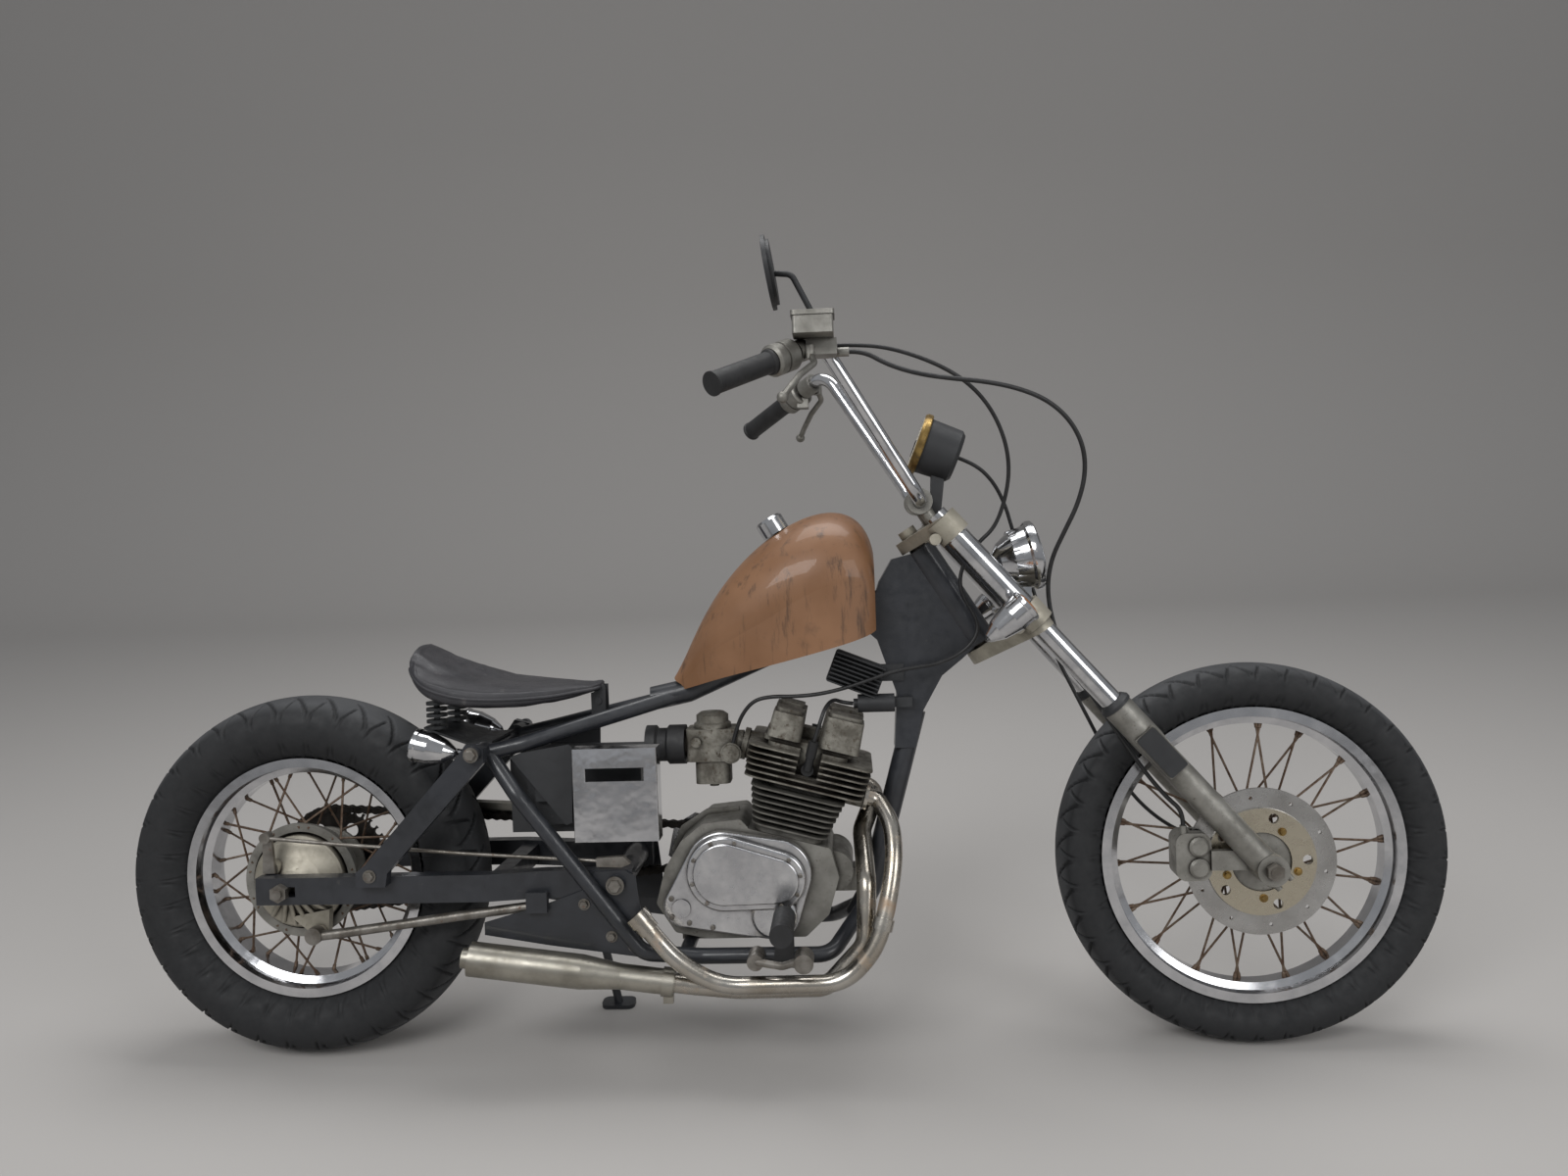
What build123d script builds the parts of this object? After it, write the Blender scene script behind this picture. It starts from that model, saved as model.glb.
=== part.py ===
"""A custom chopper motorcycle: rigid rear, raked forks, peanut tank, twin-cylinder engine.

Lengths are millimetres. The machine is drawn upright: X forward from the rear axle, Y to the
left, Z up from the ground under the rear tyre. At the end it is leaned onto its side stand.
"""

import os
from math import asin, atan2, cos, degrees, radians, sin, tan

from build123d import *

# Stance on the side stand
LEAN = 7.0
GROUND_CENTRE = (792.5, 130.7)
GROUND_LIFT = 0.72

# Wheels
WHEELBASE = 1578.0
REAR_RADIUS = 305.0
REAR_TYRE_WIDTH = 135.0
REAR_RIM_RADIUS = 204.5
REAR_RIM_HALF = 43.0
FRONT_RADIUS = 312.0
FRONT_TYRE_WIDTH = 90.0
FRONT_RIM_RADIUS = 242.5
FRONT_RIM_HALF = 29.0
TREAD_DEPTH = 14.0
SIDEWALL = 8.0
RIM_WALL = 4.0
SPOKES_PER_WHEEL = 36
SPOKE_RADIUS = 2.0
FIT = 0.3
AXLE_RADIUS = 8.0

# Rear hub, brake and chain
REAR_FLANGE_RADIUS = 96.0
REAR_FLANGE_Y = 46.0
FLANGE_THICKNESS = 6.0
DRUM_RECESS_RADIUS = 82.0
BRAKE_PLATE_RADIUS = 77.0
CHAIN_PITCH = 15.875
SPROCKET_TEETH = 36
SPROCKET_THICKNESS = 6.0
CHAIN_Y = 81.0
CHAIN_HEIGHT = 15.0
DRIVE_TEETH = 14
ROLLER_RADIUS = 5.0
ROLLER_CLEARANCE = 1.2
TOOTH_HEIGHT = 3.2
DRIVE_SPROCKET = (652.0, 318.0)

# Swingarm, struts and frame
ARM_INNER_Y = 97.0
ARM_OUTER_Y = 121.0
ARM_REAR_X = -42.0
ARM_BOTTOM_Z = 284.0
ARM_TOP_Z = 328.0
PIVOT = (548.0, 306.0)
PIVOT_INNER_Y = 80.0
PIVOT_OUTER_Y = 104.0
TUBE = 12.7
RAIL_Y = 92.0
LOOP_Y = 118.0
CRADLE_Y = 98.0
CRADLE_Z = 184.0
DOWNTUBE_RADIUS = 18.0
BACKBONE_RADIUS = 20.0
STRUT_TOP = (334.5, 527.0)

# Steering head and fork
HEAD_POINT = (1102.0, 750.0)
HEAD_ANGLE = 32.0
HEAD_HALF = 92.0
HEAD_RADIUS = 27.0
STEM_RADIUS = 15.0
FORK_OFFSET = 83.2
FORK_HALF = 95.0
STANCHION_RADIUS = 17.5
COVER_RADIUS = 20.5
SLIDER_RADIUS = 24.0
SLIDER_TOP = 345.0
YOKE_SPACING = 190.0
YOKE_HEIGHT = 36.0
DISC_RADIUS = 118.0
DISC_Y = -60.0
DISC_THICKNESS = 4.0
DISC_PILOT_RADIUS = 47.0
DISC_CARRIER_RADIUS = 87.0
CARRIER_THICKNESS = 7.0

# Engine
CYLINDER_TILT = 15.0
CYLINDER_BASE = (824.0, 366.0)
FIN_PITCH = 10.0
FIN_THICKNESS = 2.6
BARREL_FINS = 7
HEAD_FINS = 6


def head_point(along, across=0.0, forward=0.0):
    """A point measured up the steering axis, to the left, and square to the axis."""
    tilt = radians(HEAD_ANGLE)
    x = HEAD_POINT[0] - along * sin(tilt) + forward * cos(tilt)
    z = HEAD_POINT[1] + along * cos(tilt) + forward * sin(tilt)
    return Vector(x, across, z)


LOWER_CLAMP = head_point(-HEAD_HALF + 2, 0, FORK_OFFSET)
FORK_ANGLE = degrees(atan2(WHEELBASE - LOWER_CLAMP.X, LOWER_CLAMP.Z - FRONT_RADIUS))
LOWER_YOKE = (LOWER_CLAMP - Vector(WHEELBASE, 0, FRONT_RADIUS)).length
TOP_YOKE = LOWER_YOKE + YOKE_SPACING


def fork_point(along, across=0.0, forward=0.0):
    """A point measured up the fork from the front axle, to the left, and ahead of the legs."""
    tilt = radians(FORK_ANGLE)
    x = WHEELBASE - along * sin(tilt) + forward * cos(tilt)
    z = FRONT_RADIUS + along * cos(tilt) + forward * sin(tilt)
    return Vector(x, across, z)


def rod(start, end, radius, mode=Mode.ADD):
    """A round bar between two points."""
    reach = Vector(*end) - Vector(*start)
    with BuildSketch(Plane(origin=start, z_dir=reach)) as section:
        Circle(radius)
    extrude(section.sketch, amount=reach.length, mode=mode)


def spoke_bar(start, end, radius):
    """A thin six-sided bar between two points."""
    reach = Vector(*end) - Vector(*start)
    with BuildSketch(Plane(origin=start, z_dir=reach)) as section:
        RegularPolygon(radius, 6)
    extrude(section.sketch, amount=reach.length)


def bent_tube(points, bend, radius, bore=0.0, mode=Mode.ADD):
    """A round tube through points, with straight runs joined by arcs of the bend radius."""
    with BuildLine() as route:
        FilletPolyline(*points, radius=bend)
    with BuildSketch(Plane(origin=route.line @ 0, z_dir=route.line % 0)) as section:
        Circle(radius)
        if bore:
            Circle(bore, mode=Mode.SUBTRACT)
    sweep(section.sketch, path=route.line, mode=mode)


def widest_bends(points):
    """For each corner of a route, the largest radius that its two runs leave room for."""
    corners = [Vector(*point) for point in points]
    radii = []
    for before, corner, after in zip(corners, corners[1:], corners[2:]):
        run_in = corner - before
        run_out = after - corner
        turn = radians(run_in.get_angle(run_out))
        radii.append(0.45 * min(run_in.length, run_out.length) / tan(turn / 2))
    return radii


def swept_tube(points, radius, bore=0.0):
    """A tube through points with the widest bends, as a hose or a mandrel-bent pipe has."""
    bent_tube(points, widest_bends(points), radius, bore)


def cable(points, radius):
    """A cable along a route. Its tightest bend is printed."""
    swept_tube(points, radius)
    print(f"tightest cable bend {min(widest_bends(points)):.0f} mm, radius {radius} mm")


def turned(outline, centre, direction, mode=Mode.ADD):
    """A turned solid from (distance along the axis, radius) pairs."""
    heading = Vector(*direction).normalized()
    side = heading.cross(Vector(0, 1, 0))
    if side.length < 0.01:
        side = Vector(1, 0, 0)
    plane = Plane(origin=centre, x_dir=heading, z_dir=heading.cross(side.normalized()))
    with BuildSketch(plane) as section:
        with BuildLine():
            Polyline(*outline, close=True)
        make_face()
    revolve(section.sketch, axis=Axis(Vector(*centre), heading), mode=mode)


def side_plate(outline, y_low, y_high, mode=Mode.ADD):
    """A plate cut to an (x, z) outline, between two distances to the left."""
    with BuildSketch(Plane(origin=(0, y_low, 0), x_dir=(1, 0, 0), z_dir=(0, -1, 0))) as section:
        with BuildLine():
            Polyline(*outline, close=True)
        make_face()
    extrude(section.sketch, amount=-(y_high - y_low), mode=mode)


def block(low, high, mode=Mode.ADD):
    """A square-cornered block between two opposite corners."""
    middle = (Vector(*low) + Vector(*high)) / 2
    size = Vector(*high) - Vector(*low)
    with Locations(middle):
        Box(size.X, size.Y, size.Z, mode=mode)


def mirrored(point, side):
    """The point on the given side of the machine, 1 for left and -1 for right."""
    x, y, z = point
    return Vector(x, y * side, z)


# Left and right
SIDES = (1, -1)
REAR_CENTRE = (0.0, 0.0, REAR_RADIUS)
FRONT_CENTRE = (WHEELBASE, 0.0, FRONT_RADIUS)
ACROSS = (0.0, 1.0, 0.0)


# Wheels

def tyre(centre, radius, width, rim_radius, rim_half):
    """A hollow tyre on its rim: bead, bulging sidewall, shoulder and round crown."""
    bead = rim_half - RIM_WALL - FIT
    seat = rim_radius - 11.0
    lip = rim_radius + 2.0
    toe = bead - 11.0
    shoulder = width * 0.44
    shoulder_radius = radius - width * 0.15
    bulge_radius = (lip + shoulder_radius) / 2
    inner_bulge = width / 2 - SIDEWALL
    inner_shoulder = shoulder - SIDEWALL
    inner_radius = shoulder_radius - TREAD_DEPTH
    with BuildSketch(Plane(origin=centre, x_dir=(0, 1, 0), z_dir=(1, 0, 0))) as section:
        with BuildLine():
            Line((toe, seat), (bead, seat))
            Line((bead, seat), (bead, lip))
            ThreePointArc((bead, lip), (width / 2, bulge_radius), (shoulder, shoulder_radius))
            ThreePointArc((shoulder, shoulder_radius), (0, radius), (-shoulder, shoulder_radius))
            ThreePointArc((-shoulder, shoulder_radius), (-width / 2, bulge_radius), (-bead, lip))
            Polyline((-bead, lip), (-bead, seat), (-toe, seat), (-toe, lip),
                     (-inner_bulge, bulge_radius), (-inner_shoulder, inner_radius))
            ThreePointArc((-inner_shoulder, inner_radius), (0, radius - TREAD_DEPTH),
                          (inner_shoulder, inner_radius))
            Polyline((inner_shoulder, inner_radius), (inner_bulge, bulge_radius), (toe, lip),
                     (toe, seat))
        make_face()
    revolve(section.sketch, axis=Axis(centre, ACROSS))


def rim(centre, rim_radius, rim_half):
    """A stepped, dropped-centre rim."""
    seat = rim_radius - 11.0 - FIT
    well = seat - 13.0
    lip = rim_half - RIM_WALL
    side = [(rim_half, rim_radius), (lip, rim_radius), (lip, seat), (rim_half * 0.5, seat - 2),
            (rim_half * 0.36, well)]
    under = [(rim_half * 0.44, well - RIM_WALL), (rim_half * 0.6, seat - 2 - RIM_WALL),
             (rim_half, seat - RIM_WALL)]
    outline = side + [(-y, r) for y, r in reversed(side)]
    outline += [(-y, r) for y, r in reversed(under)] + under
    turned(outline, centre, ACROSS)


def spokes(centre, hub_rows, rim_radius):
    """Crossed spokes. Each row is (hub radius, hub y, rim y, lead angle in degrees)."""
    step = 360.0 / (SPOKES_PER_WHEEL / len(hub_rows))
    for index, (hub_radius, hub_y, rim_y, lead) in enumerate(hub_rows):
        for turn in range(SPOKES_PER_WHEEL // len(hub_rows)):
            at = radians(turn * step + index * step / len(hub_rows))
            to = at + radians(lead)
            start = Vector(centre[0] + hub_radius * cos(at), hub_y,
                           centre[2] + hub_radius * sin(at))
            end = Vector(centre[0] + rim_radius * cos(to), rim_y,
                         centre[2] + rim_radius * sin(to))
            spoke_bar(start, end, SPOKE_RADIUS)


with BuildPart() as rear_tyre:
    tyre(REAR_CENTRE, REAR_RADIUS, REAR_TYRE_WIDTH, REAR_RIM_RADIUS, REAR_RIM_HALF)
rear_tyre.part.label = "rear_tyre"

with BuildPart() as front_tyre:
    tyre(FRONT_CENTRE, FRONT_RADIUS, FRONT_TYRE_WIDTH, FRONT_RIM_RADIUS, FRONT_RIM_HALF)
front_tyre.part.label = "front_tyre"

with BuildPart() as rear_rim:
    rim(REAR_CENTRE, REAR_RIM_RADIUS, REAR_RIM_HALF)
rear_rim.part.label = "rear_rim"

with BuildPart() as front_rim:
    rim(FRONT_CENTRE, FRONT_RIM_RADIUS, FRONT_RIM_HALF)
front_rim.part.label = "front_rim"

REAR_HUB_OUTLINE = (
    (-REAR_FLANGE_Y - 1, AXLE_RADIUS + 22),
    (-REAR_FLANGE_Y + 16, AXLE_RADIUS + 22),
    (-REAR_FLANGE_Y + 16, DRUM_RECESS_RADIUS),
    (-REAR_FLANGE_Y - FLANGE_THICKNESS, DRUM_RECESS_RADIUS),
    (-REAR_FLANGE_Y - FLANGE_THICKNESS, REAR_FLANGE_RADIUS),
    (-REAR_FLANGE_Y, REAR_FLANGE_RADIUS),
    (-REAR_FLANGE_Y, REAR_FLANGE_RADIUS - 8),
    (-REAR_FLANGE_Y + 22, REAR_FLANGE_RADIUS - 8),
    (-REAR_FLANGE_Y + 30, 40),
    (REAR_FLANGE_Y - 8, 34),
    (REAR_FLANGE_Y - 2, 66),
    (REAR_FLANGE_Y + FLANGE_THICKNESS - 2, 66),
    (REAR_FLANGE_Y + FLANGE_THICKNESS - 2, 40),
    (CHAIN_Y - SPROCKET_THICKNESS / 2, 40),
    (CHAIN_Y - SPROCKET_THICKNESS / 2, AXLE_RADIUS + FIT),
    (-REAR_FLANGE_Y - 1, AXLE_RADIUS + FIT),
)

with BuildPart() as rear_hub:
    turned(REAR_HUB_OUTLINE, REAR_CENTRE, ACROSS)
rear_hub.part.label = "rear_hub"

FRONT_HUB_HALF = 36.0
FRONT_FLANGE_RADIUS = 46.0
DISC_SEAT_Y = DISC_Y + DISC_THICKNESS / 2
FRONT_HUB_OUTLINE = (
    (DISC_SEAT_Y - DISC_THICKNESS, AXLE_RADIUS + FIT),
    (DISC_SEAT_Y - DISC_THICKNESS, DISC_PILOT_RADIUS),
    (DISC_SEAT_Y, DISC_PILOT_RADIUS),
    (DISC_SEAT_Y, 62),
    (DISC_SEAT_Y + 8, 62),
    (-FRONT_HUB_HALF - 2, 34),
    (-FRONT_HUB_HALF, FRONT_FLANGE_RADIUS),
    (-FRONT_HUB_HALF + 5, FRONT_FLANGE_RADIUS),
    (-FRONT_HUB_HALF + 12, 24),
    (FRONT_HUB_HALF - 12, 24),
    (FRONT_HUB_HALF - 5, FRONT_FLANGE_RADIUS),
    (FRONT_HUB_HALF, FRONT_FLANGE_RADIUS),
    (FRONT_HUB_HALF + 4, 30),
    (-DISC_SEAT_Y + 4, 22),
    (-DISC_SEAT_Y + 4, AXLE_RADIUS + FIT),
)

with BuildPart() as front_hub:
    turned(FRONT_HUB_OUTLINE, FRONT_CENTRE, ACROSS)
front_hub.part.label = "front_hub"

# Spoke rows: hub radius, hub y, rim y, lead angle
REAR_SPOKE_ROWS = (
    (REAR_FLANGE_RADIUS - 6, -REAR_FLANGE_Y - 3, -9, 30),
    (REAR_FLANGE_RADIUS - 6, -REAR_FLANGE_Y - 3, -9, -30),
    (62, REAR_FLANGE_Y + 1, 9, 34),
    (62, REAR_FLANGE_Y + 1, 9, -34),
)
FRONT_SPOKE_ROWS = (
    (FRONT_FLANGE_RADIUS - 4, -FRONT_HUB_HALF + 2.5, -7, 46),
    (FRONT_FLANGE_RADIUS - 4, -FRONT_HUB_HALF + 2.5, -7, -46),
    (FRONT_FLANGE_RADIUS - 4, FRONT_HUB_HALF - 2.5, 7, 46),
    (FRONT_FLANGE_RADIUS - 4, FRONT_HUB_HALF - 2.5, 7, -46),
)

with BuildPart() as rear_spokes:
    spokes(REAR_CENTRE, REAR_SPOKE_ROWS, REAR_RIM_RADIUS - 27)
    add(rear_hub.part, mode=Mode.SUBTRACT)
    add(rear_rim.part, mode=Mode.SUBTRACT)
rear_spokes.part.label = "rear_spokes"

with BuildPart() as front_spokes:
    spokes(FRONT_CENTRE, FRONT_SPOKE_ROWS, FRONT_RIM_RADIUS - 27)
    add(front_hub.part, mode=Mode.SUBTRACT)
    add(front_rim.part, mode=Mode.SUBTRACT)
front_spokes.part.label = "front_spokes"

with BuildPart() as brake_disc:
    low = DISC_Y - DISC_THICKNESS / 2
    high = DISC_Y + DISC_THICKNESS / 2 - FIT
    turned(((low, DISC_CARRIER_RADIUS - 8), (high + FIT, DISC_CARRIER_RADIUS - 8),
            (high + FIT, DISC_RADIUS), (low, DISC_RADIUS)), FRONT_CENTRE, ACROSS)
    turned(((high, DISC_PILOT_RADIUS + FIT), (high, DISC_CARRIER_RADIUS - 3),
            (low, DISC_CARRIER_RADIUS), (high - CARRIER_THICKNESS, DISC_CARRIER_RADIUS - 1),
            (high - CARRIER_THICKNESS, DISC_PILOT_RADIUS + FIT)), FRONT_CENTRE, ACROSS)
    disc_face = Plane(origin=(WHEELBASE, DISC_Y + DISC_THICKNESS, FRONT_RADIUS), z_dir=(0, -1, 0))
    with BuildSketch(disc_face) as holes:
        with PolarLocations(DISC_CARRIER_RADIUS - 15, 5, start_angle=20):
            Circle(8)
        with PolarLocations((DISC_CARRIER_RADIUS + DISC_RADIUS) / 2, 10, start_angle=8):
            Circle(3)
    extrude(holes.sketch, amount=4 * DISC_THICKNESS, mode=Mode.SUBTRACT)
brake_disc.part.label = "brake_disc"


def pitch_radius(teeth):
    """The radius of the circle that the chain's pins ride on."""
    return CHAIN_PITCH / (2 * sin(radians(180.0 / teeth)))


def round_point(centre, radius, angle):
    """The (x, z) point at an angle in degrees round a centre."""
    return (centre[0] + radius * cos(radians(angle)), centre[1] + radius * sin(radians(angle)))


def seated_angles(teeth, first, last):
    """The angles of the tooth gaps that hold a pin, centred between two tangent points."""
    step = 360.0 / teeth
    count = int((last - first) / step)
    start = (first + last - count * step) / 2
    return [start + index * step for index in range(count + 1)]


def pins_between(start, end):
    """Evenly spaced pin centres along a straight run, without its ends."""
    reach = Vector(*end) - Vector(*start)
    links = round(reach.length / CHAIN_PITCH)
    steps = [Vector(*start) + reach * (index / links) for index in range(1, links)]
    return [(point.X, point.Y) for point in steps]


REAR_AXIS = (0.0, REAR_RADIUS)
REAR_PITCH = pitch_radius(SPROCKET_TEETH)
DRIVE_PITCH = pitch_radius(DRIVE_TEETH)
RUN = Vector(*DRIVE_SPROCKET) - Vector(*REAR_AXIS)
RUN_ANGLE = degrees(atan2(RUN.Y, RUN.X))
TANGENT = 90.0 - degrees(asin((REAR_PITCH - DRIVE_PITCH) / RUN.length))
REAR_PINS = seated_angles(SPROCKET_TEETH, RUN_ANGLE + TANGENT, RUN_ANGLE + 360 - TANGENT)
DRIVE_PINS = seated_angles(DRIVE_TEETH, RUN_ANGLE - TANGENT, RUN_ANGLE + TANGENT)


def sprocket(centre, teeth, phase):
    """A toothed plate in the chain's plane."""
    radius = pitch_radius(teeth)
    start_y = CHAIN_Y - SPROCKET_THICKNESS / 2
    with BuildSketch(Plane(origin=(centre[0], start_y, centre[1]),
                           x_dir=(1, 0, 0), z_dir=(0, -1, 0))) as section:
        Circle(radius + TOOTH_HEIGHT)
        with PolarLocations(radius, teeth, start_angle=phase):
            Circle(ROLLER_RADIUS + ROLLER_CLEARANCE, mode=Mode.SUBTRACT)
    extrude(section.sketch, amount=-SPROCKET_THICKNESS)


with BuildPart() as rear_sprocket:
    sprocket(REAR_AXIS, SPROCKET_TEETH, REAR_PINS[0])
    for turn in range(6):
        x, z = round_point(REAR_AXIS, 60, turn * 60)
        rod((x, CHAIN_Y - SPROCKET_THICKNESS, z), (x, CHAIN_Y + SPROCKET_THICKNESS, z), 12,
            mode=Mode.SUBTRACT)
    rod((0, CHAIN_Y - SPROCKET_THICKNESS, REAR_RADIUS), (0, CHAIN_Y + SPROCKET_THICKNESS, REAR_RADIUS),
        AXLE_RADIUS + FIT, mode=Mode.SUBTRACT)
rear_sprocket.part.label = "rear_sprocket"


# Rear brake, axle and chain

TORQUE_STUD = (42.0, REAR_RADIUS - 79.0)
BRAKE_ARM = (-30.0, REAR_RADIUS + 29.0)
with BuildPart() as brake_plate:
    turned(((-REAR_FLANGE_Y + 10, AXLE_RADIUS + 27), (-REAR_FLANGE_Y + 10, BRAKE_PLATE_RADIUS),
            (-60, BRAKE_PLATE_RADIUS), (-64, BRAKE_PLATE_RADIUS - 4), (-74, 46),
            (-88, 26), (-ARM_INNER_Y, 18), (-ARM_INNER_Y, AXLE_RADIUS + FIT),
            (-REAR_FLANGE_Y - FLANGE_THICKNESS - 0.3, AXLE_RADIUS + FIT),
            (-REAR_FLANGE_Y - FLANGE_THICKNESS - 0.3, AXLE_RADIUS + 27)), REAR_CENTRE, ACROSS)
    for turn in range(-3, 4):
        angle = radians(-78 + turn * 17)
        tip = Vector(70 * cos(angle), -66, REAR_RADIUS + 70 * sin(angle))
        root = Vector(18 * cos(angle), -90, REAR_RADIUS + 18 * sin(angle))
        rod(root, tip, 4)
    stud_x, stud_z = TORQUE_STUD
    side_plate(((-8, REAR_RADIUS - 55), (58, REAR_RADIUS - 43), (stud_x + 12, stud_z - 4),
                (stud_x, stud_z - 12), (stud_x - 12, stud_z - 8)), -76, -61)
    rod((stud_x, -62, stud_z), (stud_x, -88, stud_z), 11)
    rod((BRAKE_ARM[0], -62, BRAKE_ARM[1]), (BRAKE_ARM[0], -92.7, BRAKE_ARM[1]), 13)
brake_plate.part.label = "brake_plate"

with BuildPart() as brake_linkage:
    side_plate(((-40, 330), (-20, 330), (-24, 396), (-38, 396)), -100, -93)
    rod((-31, -93, 390), (-31, -108, 390), 9)
    bent_tube(((-31, -104, 390), (80, -102, 378), (300, -98, 357), (520, -98, 341)), 60, 3.2)
    side_plate(((516, 333), (556, 331), (572, 337), (560, 349), (516, 347)), -103, -93)
    bent_tube(((34, -97, 223), (90, -97, 229), (300, -96, 256), (402, -95.8, 268)), 70, 8)
    rod((42, -88.3, 226), (42, -106, 226), 14)
brake_linkage.part.label = "brake_linkage"

with BuildPart() as rear_axle:
    rod((0, -ARM_OUTER_Y - 16, REAR_RADIUS), (0, ARM_OUTER_Y + 16, REAR_RADIUS), AXLE_RADIUS)
    for side in SIDES:
        with BuildSketch(Plane(origin=(0, side * ARM_OUTER_Y, REAR_RADIUS), z_dir=(0, side, 0))):
            RegularPolygon(15, 6)
        extrude(amount=11)
rear_axle.part.label = "rear_axle"


def chain_loop(offset):
    """One closed line round both sprockets at an offset from the pitch line."""
    large = REAR_PITCH + offset
    small = DRIVE_PITCH + offset
    top = RUN_ANGLE + TANGENT
    bottom = RUN_ANGLE - TANGENT
    rear_top = round_point(REAR_AXIS, large, top)
    rear_bottom = round_point(REAR_AXIS, large, bottom)
    drive_top = round_point(DRIVE_SPROCKET, small, top)
    drive_bottom = round_point(DRIVE_SPROCKET, small, bottom)
    Line(rear_top, drive_top)
    ThreePointArc(drive_top, round_point(DRIVE_SPROCKET, small, RUN_ANGLE), drive_bottom)
    Line(drive_bottom, rear_bottom)
    ThreePointArc(rear_bottom, round_point(REAR_AXIS, large, RUN_ANGLE + 180), rear_top)


PLATE_GAP = 1.2
PLATE_THICKNESS = 2.0
with BuildPart() as chain:
    half = SPROCKET_THICKNESS / 2 + PLATE_GAP
    for plate_y in (CHAIN_Y - half - PLATE_THICKNESS, CHAIN_Y + half):
        with BuildSketch(Plane(origin=(0, plate_y, 0), x_dir=(1, 0, 0), z_dir=(0, -1, 0))) as loop:
            with BuildLine():
                chain_loop(CHAIN_HEIGHT / 2)
            make_face()
            with BuildLine():
                chain_loop(-CHAIN_HEIGHT / 2)
            make_face(mode=Mode.SUBTRACT)
        extrude(loop.sketch, amount=-PLATE_THICKNESS)
    rear = [round_point(REAR_AXIS, REAR_PITCH, angle) for angle in REAR_PINS]
    drive = [round_point(DRIVE_SPROCKET, DRIVE_PITCH, angle) for angle in DRIVE_PINS]
    pins = rear + pins_between(rear[-1], drive[0]) + drive + pins_between(drive[-1], rear[0])
    with BuildSketch(Plane(origin=(0, CHAIN_Y - half - PLATE_THICKNESS / 2, 0),
                           x_dir=(1, 0, 0), z_dir=(0, -1, 0))) as rollers:
        with Locations(*pins):
            RegularPolygon(ROLLER_RADIUS, 6)
    extrude(rollers.sketch, amount=-2 * half - PLATE_THICKNESS)
chain.part.label = "chain"

with BuildPart() as chain_guard:
    side_plate(((120, 412), (390, 396), (390, 384), (120, 400)), CHAIN_Y - 8, CHAIN_Y + 9)
    side_plate(((120, 412), (390, 396), (390, 366), (120, 376)), CHAIN_Y + 11.5, CHAIN_Y + 13.5)
    side_plate(((120, 412), (390, 396), (390, 392), (120, 408)), CHAIN_Y - 8, CHAIN_Y + 13.5)
    block((240, CHAIN_Y + 13.5, ARM_TOP_Z + FIT), (262, ARM_INNER_Y + 8, 382))
chain_guard.part.label = "chain_guard"


# Swingarm and struts

with BuildPart() as swingarm:
    for side in SIDES:
        with BuildSketch(Plane.XY.offset(ARM_BOTTOM_Z)) as plan:
            with BuildLine():
                Polyline((ARM_REAR_X, side * ARM_INNER_Y), (338, side * ARM_INNER_Y),
                         (430, side * PIVOT_INNER_Y), (574, side * PIVOT_INNER_Y),
                         (574, side * PIVOT_OUTER_Y), (430, side * PIVOT_OUTER_Y),
                         (338, side * ARM_OUTER_Y), (ARM_REAR_X, side * ARM_OUTER_Y),
                         close=True)
            make_face()
        extrude(plan.sketch, amount=ARM_TOP_Z - ARM_BOTTOM_Z)
    block((338, -PIVOT_INNER_Y - 20, ARM_BOTTOM_Z + 6), (366, PIVOT_INNER_Y + 20, ARM_TOP_Z - 6))
    rod((PIVOT[0], -PIVOT_OUTER_Y, PIVOT[1]), (PIVOT[0], PIVOT_OUTER_Y, PIVOT[1]), 20)
    rod((PIVOT[0], -PIVOT_OUTER_Y, PIVOT[1]), (PIVOT[0], PIVOT_OUTER_Y, PIVOT[1]), 8.3,
        mode=Mode.SUBTRACT)
    block((-14, -ARM_OUTER_Y - 5, REAR_RADIUS - AXLE_RADIUS - FIT),
          (24, ARM_OUTER_Y + 5, REAR_RADIUS + AXLE_RADIUS + FIT), mode=Mode.SUBTRACT)
swingarm.part.label = "swingarm"

STRUT_Y = ARM_OUTER_Y + 0.5
STRUT_WIDTH = 18.0
with BuildPart() as rear_struts:
    for side in SIDES:
        low, high = sorted((side * STRUT_Y, side * (STRUT_Y + STRUT_WIDTH)))
        side_plate(((134, 316), (182, 316), (186, 338), (350, 512), (350, 535), (322, 542),
                    (312, 528), (150, 352), (134, 340)), low, high)
        rod((STRUT_TOP[0], side * (STRUT_Y + STRUT_WIDTH), STRUT_TOP[1]),
            (STRUT_TOP[0], side * (STRUT_Y + STRUT_WIDTH + 12), STRUT_TOP[1]), 13)
rear_struts.part.label = "rear_struts"


# Frame

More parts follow.
